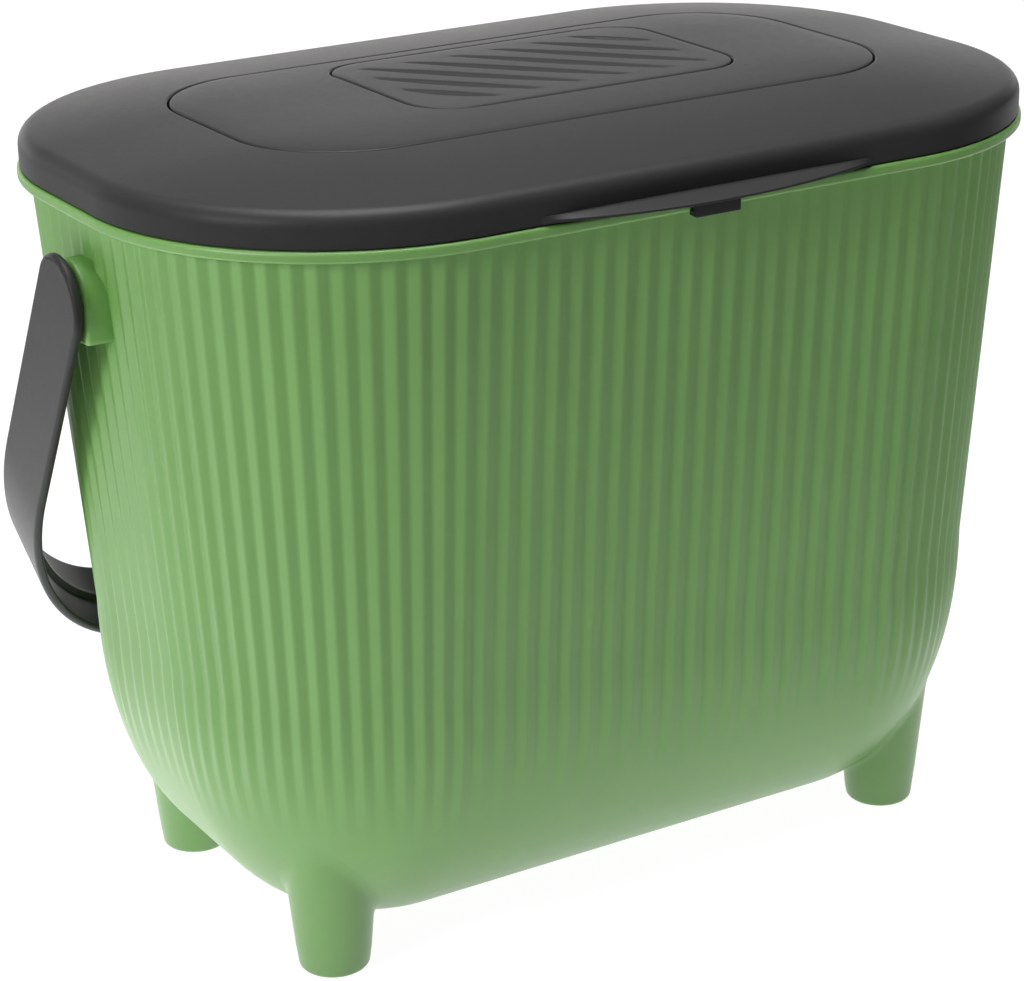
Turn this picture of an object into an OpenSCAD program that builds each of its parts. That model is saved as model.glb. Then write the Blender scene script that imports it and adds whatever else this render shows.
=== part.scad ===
// Countertop compost bin: a reeded pail on four feet, a hinged lid with a filter vent, and a swing handle.
// The long side lies along X, the grip lip faces -Y, and the floor is Z = 0.

/* [Plan] */
// Half length of the rectangle that every plan outline is offset from
core_x = 57.7; // [50:0.1:64]
// Half width of that rectangle
core_y = 14.7; // [10:0.1:20]

/* [Bucket] */
// Offset of the rim flange from the plan rectangle
flange_r = 62.3; // [62:0.1:64]
// Height of the flange's lower edge
flange_z = 181; // [170:1:200]
// Thickness of the rim flange
flange_t = 2.6; // [2:0.1:3]
// How far the flange overhangs the wall's crests
flange_over = 2.9; // [2:0.1:4]
// Height of the plain rim that stands up inside the lid
rim_h = 3.5; // [3:0.1:3.6]
// Inward lean of the wall, in millimetres for each millimetre of height
draft = 0.076; // [0.04:0.002:0.09]
// Height where the straight wall turns into the rounded bottom
turn_z = 75; // [60:1:85]
// Height of the flat underside
base_z = 5; // [3:0.5:8]
// Offset of the flat underside from the plan rectangle
base_r = 4; // [2:0.5:8]
// Exponent of the bottom curve, where 2 is an ellipse
turn_power = 2.25; // [1.9:0.05:2.6]
// Wall thickness from a reed's crest to the inside
wall_t = 2.8; // [2.4:0.1:4]

/* [Reeds] */
// Reeds on each long side
reeds_long = 20; // [12:1:24]
// Reeds on each short end
reeds_short = 5; // [3:1:7]
// Reeds round each corner
reeds_corner = 17; // [9:1:18]
// Depth of the grooves between the reeds
reed_depth = 1.1; // [0.5:0.1:1.2]

/* [Feet] */
// Distance of the feet from the middle, along X
foot_x = 81; // [76:0.5:84]
// Distance of the feet from the middle, along Y
foot_y = 37.7; // [34:0.5:40]
// Radius of a foot on the floor
foot_r = 8.5; // [7:0.5:10]
// Outward lean of a foot's side, in millimetres for each millimetre of height
foot_draft = 0.095; // [0.04:0.005:0.12]
// Rounding at a foot's lower edge
foot_round = 1.6; // [0.5:0.1:2.5]

/* [Lid] */
// Height of the lid's skirt, up to where its shoulder begins
skirt_h = 4.3; // [4:0.1:7]
// Radius of the lid's rounded shoulder
shoulder_r = 4; // [2:0.5:5]
// Rise of the lid's top from the shoulder to its middle
crown = 4.6; // [2:0.2:5]
// Exponent of the crown's fall towards the shoulder, where 2 is a parabola
crown_power = 2.1; // [1.8:0.1:2.6]
// Wall thickness of the lid
lid_t = 2; // [1.8:0.1:2.3]
// How far the lid's skirt stands in from the edge of the flange
lid_in = 0.6; // [0.3:0.1:0.8]
// Gap between the lid's skirt and the top of the flange
lid_gap = 0.3; // [0.2:0.1:0.6]
// Reach of the grip lip beyond the skirt
lip_reach = 7.5; // [4:0.5:10]
// Length of the grip lip along the front
lip_len = 88; // [60:1:110]
// Thickness of the grip lip at the skirt
lip_t = 2; // [1.6:0.1:2.4]
// Width of the front snap
snap_w = 12; // [8:1:18]

/* [Lid panel and vent] */
// Offset of the middle panel from the plan rectangle
panel_r = 27; // [24:0.5:30]
// Thickness of the middle panel
panel_t = 2.6; // [2.2:0.2:3.4]
// Width of the seam round the panel and the vent cover
seam_w = 0.5; // [0.3:0.1:0.8]
// Length of the vent cover
vent_x = 88; // [70:1:100]
// Width of the vent cover
vent_y = 57; // [50:1:64]
// Corner radius of the vent cover
vent_r = 12; // [8:0.5:14]
// Thickness of the vent cover at its middle
vent_t = 2; // [1.6:0.1:2.2]
// Width of the ledge that carries the vent cover
ledge = 2; // [1.5:0.5:3]
// Number of slanted slits in the vent cover
slits = 8; // [4:1:9]
// Width of a slit's scoop at its middle
slit_w = 4.5; // [3:0.1:5.5]
// Width of the opening along the scoop's deep side
slit_open = 1.9; // [1:0.1:2.6]
// Depth of the scoop
slit_depth = 1.2; // [0.6:0.1:1.4]
// Distance between two slits, square to their length
slit_pitch = 9.4; // [8:0.1:10]
// Slant of the slits
slit_angle = -50; // [-60:1:-35]
// Depth of the tray that holds the filter
tray_h = 11; // [9:0.5:14]
// Thickness of the filter pad
pad_t = 8; // [6:0.5:9]

/* [Hinge] */
// Distance of each hinge from the middle
hinge_x = 42; // [34:1:50]
// Distance of the hinge pins behind the flange
hinge_out = 4.2; // [4:0.1:5]
// Radius of the hinge eyes
eye_r = 3.5; // [3:0.1:3.6]
// Radius of a hinge pin
pin_r = 1.5; // [1.2:0.1:1.8]
// Width of the lid's lug
lug_w = 10; // [8:1:14]
// Width of each of the bucket's ears
ear_w = 4.5; // [4:0.5:6]

/* [Handle] */
// Height of the handle's pivots
pivot_z = 161.9; // [158:0.1:165]
// Gap between the flange and the handle's arms, at the pivots
arm_gap = 1.4; // [1.3:0.1:2.2]
// How far the arms lean in for each unit of their length
arm_lean = 0.038; // [0:0.002:0.04]
// Length of the handle from its pivots to the grip
handle_reach = 131.4; // [124:0.2:135]
// Width of the handle strap
strap_w = 21.4; // [18:0.2:24]
// Thickness of the handle strap
strap_t = 2.2; // [2:0.1:3]
// Length of the handle's corner curve along X
bend_x = 41; // [30:1:56]
// Length of the handle's corner curve along its arms
bend_r = 68.6; // [45:0.2:75]
// Radius of the pegs that the handle turns on
peg_r = 4; // [3:0.5:5]

/* [Strainer] */
// Height of the strainer's plate above the floor of the bucket
strainer_up = 16; // [12:1:24]
// Height of the strainer's edge above its plate
strainer_edge = 12; // [8:1:16]
// Thickness of the strainer's walls
strainer_t = 1.8; // [1.4:0.1:2.4]
// Radius of the drain holes
drain_r = 2.2; // [1.5:0.1:3]
// Distance between two drain holes
drain_pitch = 12; // [9:0.5:16]

/* [Hidden] */
$fn = 96;

// Clearances: a running fit on a pin, a free gap between loose pieces, and the overlap of fused solids
fit_gap = 0.05;
free_gap = 0.3;
fuse = 0.6;

green = [0.40, 0.62, 0.34];
charcoal = [0.29, 0.29, 0.30];

// Bucket heights and offsets
flange_top = flange_z + flange_t;
rim_top = flange_top + rim_h;
wall_r = flange_r - flange_over;
turn_r = wall_r - draft * (flange_z - turn_z);
rim_inset = 0.6;

// Lid heights and offsets
skirt_z = flange_top + lid_gap;
shoulder_z = skirt_z + skirt_h;
deck_z = shoulder_z + shoulder_r;
top_z = deck_z + crown;
lid_r = flange_r - lid_in;
crown_end = lid_r - shoulder_r;
panel_z = crown_at(panel_r) - panel_t;
shelf_z = panel_z - lid_t;
tray_z = panel_z - tray_h;

// Height of the lid's crowned top at an offset from the plan rectangle, and a profile that follows it inwards
function crown_at(r) = top_z - crown * pow(max(r, 0) / crown_end, crown_power);
function crown_line(from, to, steps) =
    [for (i = [0:steps]) let (r = from + (to - from) * i / steps) [r, crown_at(r)]];

// Hinge axis
hinge_y = core_y + flange_r + hinge_out;
hinge_z = flange_z + flange_t / 2;
pin_len = lug_w + 2 * ear_w + 2 * free_gap;

// Handle pivots: the strap stands over the edge of its boss, whose corner clears the leaning arm all the way round
boss_edge = 1.5;
peg_in = 2.2;
strap_x = core_x + flange_r + arm_gap;
boss_r = strap_w / 2 - boss_edge;
boss_x = strap_x - free_gap - arm_lean * norm([boss_r, boss_r]);
peg_x = core_x + wall_r - peg_in;

// Offset of the wall's crests at a height
function wall_at(z) =
    z >= turn_z ? wall_r - draft * (flange_z - z)
                : base_r + (turn_r - base_r)
                  * pow(1 - pow((turn_z - z) / (turn_z - base_z), turn_power), 1 / turn_power);

// Offset and height of a point on the bottom curve of a shell, for an angle from 0 at its turn to 90 at its flat
function bottom_curve(angle, outer, low) =
    [base_r + (outer - base_r) * pow(cos(angle), 2 / turn_power),
     turn_z - (turn_z - low) * pow(sin(angle), 2 / turn_power)];

// Offset of the inside of the bucket at a height
floor_z = base_z + wall_t;
inner_turn_r = turn_r - wall_t;
function inside_at(z) =
    z >= turn_z ? wall_at(z) - wall_t
                : base_r + (inner_turn_r - base_r)
                  * pow(1 - pow((turn_z - z) / (turn_z - floor_z), turn_power), 1 / turn_power);

// Points of a circular arc, from one angle to another
function arc(centre, r, from, to, steps) =
    [for (i = [0:steps]) let (a = from + (to - from) * i / steps) centre + r * [cos(a), sin(a)]];

// A closed profile of (offset, height) points, carried once round the plan rectangle
module carried(profile) {
    for (sx = [0, 1], sy = [0, 1])
        mirror([sx, 0, 0]) mirror([0, sy, 0]) translate([core_x, core_y, 0])
            rotate_extrude(angle = 90) polygon(profile);
    for (s = [0, 1]) {
        mirror([s, 0, 0]) translate([core_x, core_y, 0]) rotate([90, 0, 0])
            linear_extrude(2 * core_y) polygon(profile);
        mirror([0, s, 0]) translate([-core_x, core_y, 0]) rotate([90, 0, 90])
            linear_extrude(2 * core_x) polygon(profile);
    }
}

// The same, with the plan rectangle itself filled between two heights
module filled(profile, low, high) {
    carried(profile);
    translate([-core_x, -core_y, low]) cube([2 * core_x, 2 * core_y, high - low]);
}

// Flat shape of a rectangle with round corners
module round_rect(x, y, r) {
    square([x - 2 * r, y], center = true);
    square([x, y - 2 * r], center = true);
    for (sx = [-1, 1], sy = [-1, 1]) translate([sx * (x / 2 - r), sy * (y / 2 - r)]) circle(r);
}

// Reeded wall: rings of points round the plan, each [corner or side point, outward direction]
reed_marks = [0, 0.2, 0.5, 0.8];
reed_cut = [1, 0.3, 0, 0.3];
function corner_at(k) = [k == 0 || k == 3 ? core_x : -core_x, k < 2 ? core_y : -core_y];
function side_reeds(k) = k % 2 == 0 ? reeds_long : reeds_short;
function stations(marks) = [for (k = [0:3]) each concat(
    [for (i = [0:reeds_corner - 1], u = marks)
        let (a = 90 * (k + (i + u) / reeds_corner)) [corner_at(k), [cos(a), sin(a)]]],
    [for (i = [0:side_reeds(k) - 1], u = marks)
        let (t = (i + u) / side_reeds(k), a = 90 * (k + 1))
        [corner_at(k) * (1 - t) + corner_at((k + 1) % 4) * t, [cos(a), sin(a)]]])];
fine = stations(reed_marks);
plain = stations([0]);
function ring(places, at, cut) = [for (i = [0:len(places) - 1])
    let (p = places[i], r = at[0] - cut * reed_depth * reed_cut[i % len(reed_cut)])
    [p[0][0] + r * p[1][0], p[0][1] + r * p[1][1], at[1]]];
function plain_ring(at) = [for (p = plain) [p[0][0] + at[0] * p[1][0], p[0][1] + at[0] * p[1][1], at[1]]];

// Faces between two rings, the upper one given by its first point's number
function band(first, n) = [for (i = [0:n - 1]) let (j = (i + 1) % n)
    each [[first + j, first + n + j, first + i], [first + n + j, first + n + i, first + i]]];
function narrowing(first, n) = [for (i = [0:n - 1]) let (j = (i + 1) % n, a = first + 4 * i, b = first + 4 * n)
    each [[a + 1, b + i, a], [a + 2, b + i, a + 1], [b + j, b + i, a + 2], [a + 3, b + j, a + 2],
          [first + 4 * j, b + j, a + 3]]];

// Angles on the bottom curve where the reeds run out, how deep they still are, and the plain stretch below
fade_angles = [0, 10, 19, 28];
fade_cuts = [1, 0.85, 0.45, 0.1];
plain_angles = [36, 45, 54, 63, 72, 81, 90];

module reeded_shell() {
    nf = len(fine);
    np = len(plain);
    top = [wall_at(flange_z + fuse), flange_z + fuse];
    fine_points = concat(ring(fine, top, 1),
        [for (i = [0:len(fade_angles) - 1]) each ring(fine, bottom_curve(fade_angles[i], turn_r, base_z), fade_cuts[i])]);
    plain_points = [for (a = plain_angles) each plain_ring(bottom_curve(a, turn_r, base_z))];
    narrow_at = len(fade_angles) * nf;
    plain_at = narrow_at + nf;
    last = plain_at + (len(plain_angles) - 1) * np;
    middles = [[0, 0, top[1]], [0, 0, base_z]];
    polyhedron(concat(fine_points, plain_points, middles),
        concat([for (i = [0:nf - 1]) [last + np, (i + 1) % nf, i]],
               [for (k = [0:len(fade_angles) - 1]) each band(k * nf, nf)],
               narrowing(narrow_at, np),
               [for (k = [0:len(plain_angles) - 2]) each band(plain_at + k * np, np)],
               [for (i = [0:np - 1]) [last + (i + 1) % np, last + np + 1, last + i]]));
}

// Inside of the bucket, open at the rim
module inside() {
    curve = [for (a = [0:10:90]) bottom_curve(a, inner_turn_r, floor_z)];
    mouth = rim_top + 1;
    filled(concat([[0, mouth], [inside_at(mouth), mouth]], curve, [[0, floor_z]]), floor_z, mouth);
}

// Tapered foot, standing inside the wall until the inside is cut out
module foot() {
    height = turn_z / 2;
    top_r = foot_r + foot_draft * height;
    rotate_extrude() polygon(concat([[0, 0]],
        arc([foot_r - foot_round, foot_round], foot_round, -90, 0, 4), [[top_r, height], [0, height]]));
}

// Round boss with a flat lower edge, where the handle's peg turns
module handle_boss() {
    depth = boss_x - core_x - inside_at(pivot_z) + fuse;
    translate([boss_x - depth, 0, pivot_z]) {
        rotate([0, 90, 0]) cylinder(r = boss_r, h = depth);
        translate([0, -boss_r, -boss_r]) cube([depth, 2 * boss_r, boss_r]);
    }
}

// One ear of a hinge: an eye on a block that grows out of the flange
module ear() {
    translate([0, hinge_y, hinge_z]) rotate([0, 90, 0]) cylinder(r = eye_r, h = ear_w);
    translate([0, core_y + flange_r - fuse, hinge_z - eye_r])
        cube([ear_w, hinge_out + fuse, flange_top - hinge_z + eye_r - free_gap]);
}

module ears() {
    for (s = [-1, 1], e = [-1, 1])
        translate([s * hinge_x + e * (lug_w + ear_w) / 2 + e * free_gap - ear_w / 2, 0, 0]) ear();
}

module pin_bores(r) {
    for (s = [-1, 1]) translate([s * hinge_x, hinge_y, hinge_z]) rotate([0, 90, 0])
        cylinder(r = r, h = pin_len + 2, center = true);
}

module bucket() {
    color(green) difference() {
        union() {
            reeded_shell();
            carried([[wall_r - wall_t / 2, flange_z], [flange_r, flange_z], [flange_r, flange_top],
                     [wall_r - wall_t / 2, flange_top]]);
            carried([[wall_r - wall_t - fuse, flange_z + fuse / 2], [wall_r - rim_inset, flange_z + fuse / 2],
                     [wall_r - rim_inset, rim_top], [wall_r - wall_t - fuse, rim_top]]);
            for (sx = [-1, 1], sy = [-1, 1]) translate([sx * foot_x, sy * foot_y, 0]) foot();
            for (s = [0, 1]) mirror([s, 0, 0]) handle_boss();
            ears();
        }
        inside();
        pin_bores(pin_r + fit_gap);
        for (s = [0, 1]) mirror([s, 0, 0]) translate([peg_x - free_gap, 0, pivot_z]) rotate([0, 90, 0])
            cylinder(r = peg_r + fit_gap, h = boss_x - peg_x + 1);
        translate([-snap_w / 2 - free_gap, -core_y - flange_r - 1, flange_z - 1])
            cube([snap_w + 2 * free_gap, 1 + snap_notch, flange_t + 2]);
    }
}

// Strainer: a perforated tray on legs, with two finger tabs
strainer_gap = 0.8;
plate_z = floor_z + strainer_up;
function strainer_at(z) = inside_at(z) - strainer_gap;
strainer_r = strainer_at(plate_z);
tab_w = 24;
tab_h = 14;
leg_r = 3;

module strainer() {
    columns = floor((core_x + strainer_r - 12) / drain_pitch);
    rows = floor((core_y + strainer_r - 12) / drain_pitch);
    edge_steps = 4;
    edge = [for (i = [0:edge_steps]) let (z = plate_z + strainer_edge * i / edge_steps) [strainer_at(z), z]];
    color(charcoal) {
        difference() {
            filled([[0, plate_z], [strainer_r, plate_z], [strainer_at(plate_z + strainer_t), plate_z + strainer_t],
                    [0, plate_z + strainer_t]], plate_z, plate_z + strainer_t);
            for (i = [-columns:columns], j = [-rows:rows])
                translate([i * drain_pitch, j * drain_pitch, plate_z - 1]) cylinder(r = drain_r, h = strainer_t + 2);
        }
        carried(concat(edge, [for (i = [edge_steps:-1:0]) edge[i] - [strainer_t, 0]]));
        for (sx = [-1, 1], sy = [-1, 1])
            translate([sx * (core_x - leg_r), sy * (core_y - leg_r), floor_z])
                cylinder(r = leg_r, h = strainer_up + fuse);
        for (s = [0, 1]) mirror([s, 0, 0])
            translate([core_x + strainer_r - strainer_t * 2, -tab_w / 2, plate_z + fuse])
                cube([strainer_t, tab_w, strainer_edge + tab_h]);
    }
}

// Lid: the shelf under its panel, and the channel between a rib and the skirt that holds the seal
shelf_w = 5;
seal_in = inside_at(rim_top) - 1;
seal_out = lid_r - lid_t;
seal_rib = 0.9;
seal_ease = 0.1;
seal_seat = deck_z - lid_t - 0.6;
rib_z = seal_seat - 1.4;

module lid_shell() {
    skirt_y = core_y + lid_r;
    lip_radius = (pow(lip_len / 2, 2) + pow(lip_reach, 2)) / (2 * lip_reach);
    lip_slope = 0.7;
    color(charcoal) difference() {
        union() {
            carried(concat(
                [[lid_r, skirt_z]],
                arc([crown_end, shoulder_z], shoulder_r, 0, 90, 8),
                crown_line(crown_end - 1, panel_r, 8),
                [[panel_r, panel_z], [panel_r - shelf_w, panel_z], [panel_r - shelf_w, shelf_z],
                 [panel_r + lid_t, shelf_z]],
                [for (p = crown_line(panel_r + lid_t, seal_in - seal_rib, 6)) p - [0, lid_t]],
                [[seal_in - seal_rib, rib_z], [seal_in, rib_z], [seal_in, seal_seat], [seal_out, seal_seat],
                 [seal_out, skirt_z]]));
            for (s = [-1, 1]) translate([s * hinge_x - lug_w / 2, 0, 0]) {
                translate([0, hinge_y, hinge_z]) rotate([0, 90, 0]) cylinder(r = eye_r, h = lug_w);
                translate([0, skirt_y - fuse, skirt_z])
                    cube([lug_w, hinge_y - skirt_y + fuse, hinge_z + eye_r - skirt_z]);
            }
            intersection() {
                translate([0, lip_radius - skirt_y - lip_reach, skirt_z])
                    cylinder(r1 = lip_radius, r2 = lip_radius - lip_reach * lip_slope, h = lip_t, $fn = 200);
                translate([-lip_len / 2, -skirt_y - lip_reach, skirt_z])
                    cube([lip_len, lip_reach + fuse, lip_t]);
            }
            snap();
        }
        pin_bores(pin_r + fit_gap);
    }
}

// Front snap: a tab in front of the flange, with a toe that passes through the flange's notch
snap_notch = 1.8;
snap_t = 1.6;
module snap() {
    front = core_y + flange_r;
    low = flange_z - 1.8;
    toe_t = 1.4;
    translate([-snap_w / 2, -front - free_gap - snap_t, low]) cube([snap_w, snap_t, skirt_z - low + 1]);
    translate([-snap_w / 2, -front - free_gap - fuse, low])
        cube([snap_w, snap_notch, toe_t]);
}

module lid_panel() {
    edge = panel_r - seam_w;
    chamfer = 0.4;
    color(charcoal) difference() {
        filled(concat([[0, panel_z], [edge, panel_z], [edge, crown_at(edge) - chamfer]],
                      crown_line(edge - chamfer, 0, 8)), panel_z, top_z);
        translate([vent_dx, vent_dy, top_z - vent_t])
            linear_extrude(vent_t + 1) round_rect(vent_x + 2 * seam_w, vent_y + 2 * seam_w, vent_r + seam_w);
        translate([vent_dx, vent_dy, panel_z - 1])
            linear_extrude(panel_t + 2) round_rect(window_x, window_y, vent_r - ledge);
    }
}

// Window under the vent cover
window_x = vent_x - 2 * ledge;
window_y = vent_y - 2 * ledge;

// Ends of the slant line through the vent cover's clear field, at a distance from its middle, and a slit's share of it
vent_margin = 5;
field_x = vent_x / 2 - vent_margin;
field_y = vent_y / 2 - vent_margin;
slit_share = 0.92;
function slant_span(d) =
    let (u = [cos(slit_angle), sin(slit_angle)], n = [-u[1], u[0]],
         x1 = (-field_x - d * n[0]) / u[0], x2 = (field_x - d * n[0]) / u[0],
         y1 = (field_y - d * n[1]) / u[1], y2 = (-field_y - d * n[1]) / u[1])
    [max(x1, y1), min(x2, y2)];

// Flat lens between two arcs
module lens(length, width) {
    r = (pow(length / 2, 2) + pow(width / 2, 2)) / width;
    intersection() {
        translate([0, r - width / 2]) circle(r, $fn = 200);
        translate([0, width / 2 - r]) circle(r, $fn = 200);
    }
}

// Cutter for one slit, with the cover's top at its zero height: a scoop whose floor slopes down from the far side,
// and an opening right through along the near side
module slit(length) {
    near = -slit_w / 2;
    intersection() {
        translate([0, 0, -vent_t]) linear_extrude(2 * vent_t) lens(length, slit_w);
        rotate([90, 0, 90]) linear_extrude(length + 2, center = true)
            polygon([[near, -slit_depth], [-near, 0], [-near, vent_t], [near, vent_t]]);
    }
    translate([0, 0, -vent_t - 1]) linear_extrude(2 * vent_t) intersection() {
        lens(length, slit_w);
        translate([0, slit_open - slit_w]) lens(length, slit_w);
    }
}

module vent_cover() {
    low = top_z - vent_t;
    color(charcoal) difference() {
        intersection() {
            translate([vent_dx, vent_dy, low]) linear_extrude(vent_t + 1) round_rect(vent_x, vent_y, vent_r);
            filled(concat([[0, low], [panel_r, low]], crown_line(panel_r, 0, 8)), low, top_z);
        }
        for (i = [0:slits - 1]) let (d = (i - (slits - 1) / 2) * slit_pitch, span = slant_span(d))
            translate([vent_dx, vent_dy, crown_at(abs(vent_dy + d * cos(slit_angle)) - core_y)])
                rotate(slit_angle) translate([(span[0] + span[1]) / 2, d])
                    slit((span[1] - span[0]) * slit_share);
    }
}

// Filter tray under the panel's window, with the pad in it
tray_t = 1.2;
tray_rim = 2.4;
grid_pitch = 9;

module filter_tray() {
    bars = floor(window_x / grid_pitch / 2 - 0.5);
    color(charcoal) translate([vent_dx, vent_dy, 0]) difference() {
        union() {
            translate([0, 0, tray_z]) linear_extrude(tray_h)
                round_rect(window_x + 2 * tray_t, window_y + 2 * tray_t, vent_r - ledge + tray_t);
            translate([0, 0, panel_z - tray_t]) linear_extrude(tray_t)
                round_rect(window_x + 2 * tray_rim, window_y + 2 * tray_rim, vent_r - ledge + tray_rim);
        }
        translate([0, 0, tray_z + tray_t]) linear_extrude(tray_h) round_rect(window_x, window_y, vent_r - ledge);
        for (i = [-bars:bars], s = [-1, 1])
            translate([i * grid_pitch - grid_pitch / 4, s * (window_y / 4 - 1) - window_y / 4 + 4, tray_z - 1])
                cube([grid_pitch / 2, window_y / 2 - 6, tray_t + 2]);
    }
}

module carbon_filter() {
    color([0.12, 0.12, 0.12]) translate([vent_dx, vent_dy, tray_z + tray_t])
        linear_extrude(pad_t) round_rect(window_x - 2 * free_gap, window_y - 2 * free_gap, vent_r - ledge - free_gap);
}

module lid_seal() {
    low = rim_top + free_gap;
    inner = seal_in + seal_ease;
    outer = seal_out - seal_ease;
    color([0.8, 0.8, 0.78]) carried([[inner, low], [outer, low], [outer, seal_seat], [inner, seal_seat]]);
}

module hinge_pin(side) {
    color("silver") translate([side * hinge_x, hinge_y, hinge_z]) rotate([0, 90, 0])
        cylinder(r = pin_r, h = pin_len, center = true);
}

// Lean of the resting handle from straight down, where its grip's inner edge lies against the back wall
grip_in = handle_reach - strap_t;
grip_diag = norm([grip_in, strap_w / 2]);
function lean_for(z) = atan(strap_w / 2 / grip_in) + asin((core_y + wall_at(z) + free_gap) / grip_diag);
function grip_low(a) = pivot_z - grip_in * cos(a) - strap_w / 2 * sin(a);
handle_lean = lean_for(grip_low(lean_for(grip_low(lean_for(pivot_z - grip_in)))));

// Half outline of the handle in its own plane, from a pivot to the middle of the grip: (along X, away from the pivots)
function handle_side(inset) = [for (p = concat([[strap_x + strap_t - inset, -strap_w]],
    arc_stretched([strap_x + strap_t - bend_x, handle_reach - bend_r], [bend_x - inset, bend_r - inset], 20)))
    [p[0] - arm_lean * p[1], p[1]]];
function arc_stretched(centre, size, steps) =
    [for (i = [0:steps]) let (a = 90 * i / steps) centre + [size[0] * cos(a), size[1] * sin(a)]];
function mirrored(side) = [for (i = [len(side) - 1:-1:0]) [-side[i][0], side[i][1]]];

module handle_band(outside, inside_of, width) {
    outer = concat(handle_side(outside), mirrored(handle_side(outside)));
    inner = concat(handle_side(inside_of), mirrored(handle_side(inside_of)));
    rotate([90, 0, 0]) translate([0, 0, -width / 2])
        linear_extrude(width) polygon(concat(outer, [for (i = [len(inner) - 1:-1:0]) inner[i]]));
}

// Width of the strap all along it, with round ends about the pivots
module handle_width() {
    long = 2 * (strap_x + strap_w);
    rotate([0, 90, 0]) cylinder(r = strap_w / 2, h = long, center = true);
    translate([-long / 2, -strap_w / 2, 0]) cube([long, strap_w, handle_reach + strap_t]);
}

module handle() {
    rib_w = 2.4;
    rib_h = 1.4;
    color(charcoal) translate([0, 0, pivot_z]) rotate([handle_lean - 180, 0, 0]) {
        intersection() {
            handle_band(0, strap_t, 2 * strap_w);
            handle_width();
        }
        intersection() {
            handle_band(fuse, strap_t + rib_h, rib_w);
            translate([-strap_x, -rib_w, handle_reach - bend_r]) cube([2 * strap_x, 2 * rib_w, bend_r]);
        }
        for (s = [0, 1]) mirror([s, 0, 0]) translate([peg_x, 0, 0]) rotate([0, 90, 0])
            cylinder(r = peg_r, h = strap_x + strap_t / 2 - peg_x);
    }
}

// The vent sits a little behind and to the right of the middle
vent_dx = 5;
vent_dy = 6.6;

bucket();
strainer();
lid_shell();
lid_panel();
vent_cover();
carbon_filter();
filter_tray();
lid_seal();
hinge_pin(-1);  // hinge_pin_left
hinge_pin(1);  // hinge_pin_right
handle();
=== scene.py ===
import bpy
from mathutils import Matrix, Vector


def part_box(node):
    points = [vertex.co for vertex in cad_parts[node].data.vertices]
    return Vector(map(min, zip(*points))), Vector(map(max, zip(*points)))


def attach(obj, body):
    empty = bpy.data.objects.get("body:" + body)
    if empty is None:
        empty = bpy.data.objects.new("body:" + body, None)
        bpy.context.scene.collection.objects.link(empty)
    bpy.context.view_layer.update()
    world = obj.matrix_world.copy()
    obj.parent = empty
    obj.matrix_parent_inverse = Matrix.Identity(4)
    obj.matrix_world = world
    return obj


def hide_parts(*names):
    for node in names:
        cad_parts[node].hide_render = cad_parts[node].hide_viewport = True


bl_info = {
    "name": "Countertop compost bin",
    "version": (1, 0, 0),
    "blender": (4, 5, 0),
    "location": "3D View > Sidebar > Compost bin",
    "description": "Visible surfaces, finishes and stage for the packed compost bin",
    "category": "Add Mesh",
}

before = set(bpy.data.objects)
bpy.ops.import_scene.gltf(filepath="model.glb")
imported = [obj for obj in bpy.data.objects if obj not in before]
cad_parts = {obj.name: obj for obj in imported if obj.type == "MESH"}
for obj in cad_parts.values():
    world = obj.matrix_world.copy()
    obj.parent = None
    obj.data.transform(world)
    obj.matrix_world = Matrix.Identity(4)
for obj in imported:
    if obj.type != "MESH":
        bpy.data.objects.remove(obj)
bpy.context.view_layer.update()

import math

import bmesh
import bpy
import numpy as np
from bpy.props import FloatProperty, FloatVectorProperty, IntProperty, PointerProperty
from mathutils import Matrix, Vector

MM = 0.001
X, Y, Z = np.eye(3)
PANEL_R = 26.5  # offset of the lid's middle panel from the plan rectangle, in millimetres
QUARTER = np.radians(np.linspace(0, 90, 5))
ROUND_IN, ROUND_UP = 1 - np.sin(QUARTER), 1 - np.cos(QUARTER)
SIDES = (-1, 1)


def length(description, millimetres):
    """A size in metres whose default is given in millimetres."""
    return FloatProperty(description=description, default=millimetres * MM, unit="LENGTH")


def radians(description, degrees):
    """An angle in radians whose default is given in degrees."""
    return FloatProperty(description=description, default=math.radians(degrees), subtype="ANGLE")


def number(description, default):
    """A plain number."""
    return FloatProperty(description=description, default=default)


def whole(description, default):
    """A count."""
    return IntProperty(description=description, default=default)


def colour(description, default):
    """A colour in linear red, green and blue, each from 0 to 1."""
    return FloatVectorProperty(description=description, default=default, subtype="COLOR", size=3, min=0, max=1)


def corner(node, end=1):
    """The lowest (end 0) or highest (end 1) corner of a CAD node, in millimetres."""
    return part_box(node)[end] / MM


# Sizes and colours that a user would change

class PlanSizes(bpy.types.PropertyGroup):
    """Every outline of the bin is an offset of one rectangle"""
    panel_r: length("Offset of the middle panel from the plan rectangle", PANEL_R)
    core_x: length("Half length of the plan rectangle", corner("lid_panel").x - PANEL_R)
    core_y: length("Half width of the plan rectangle", corner("lid_panel").y - PANEL_R)


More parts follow.
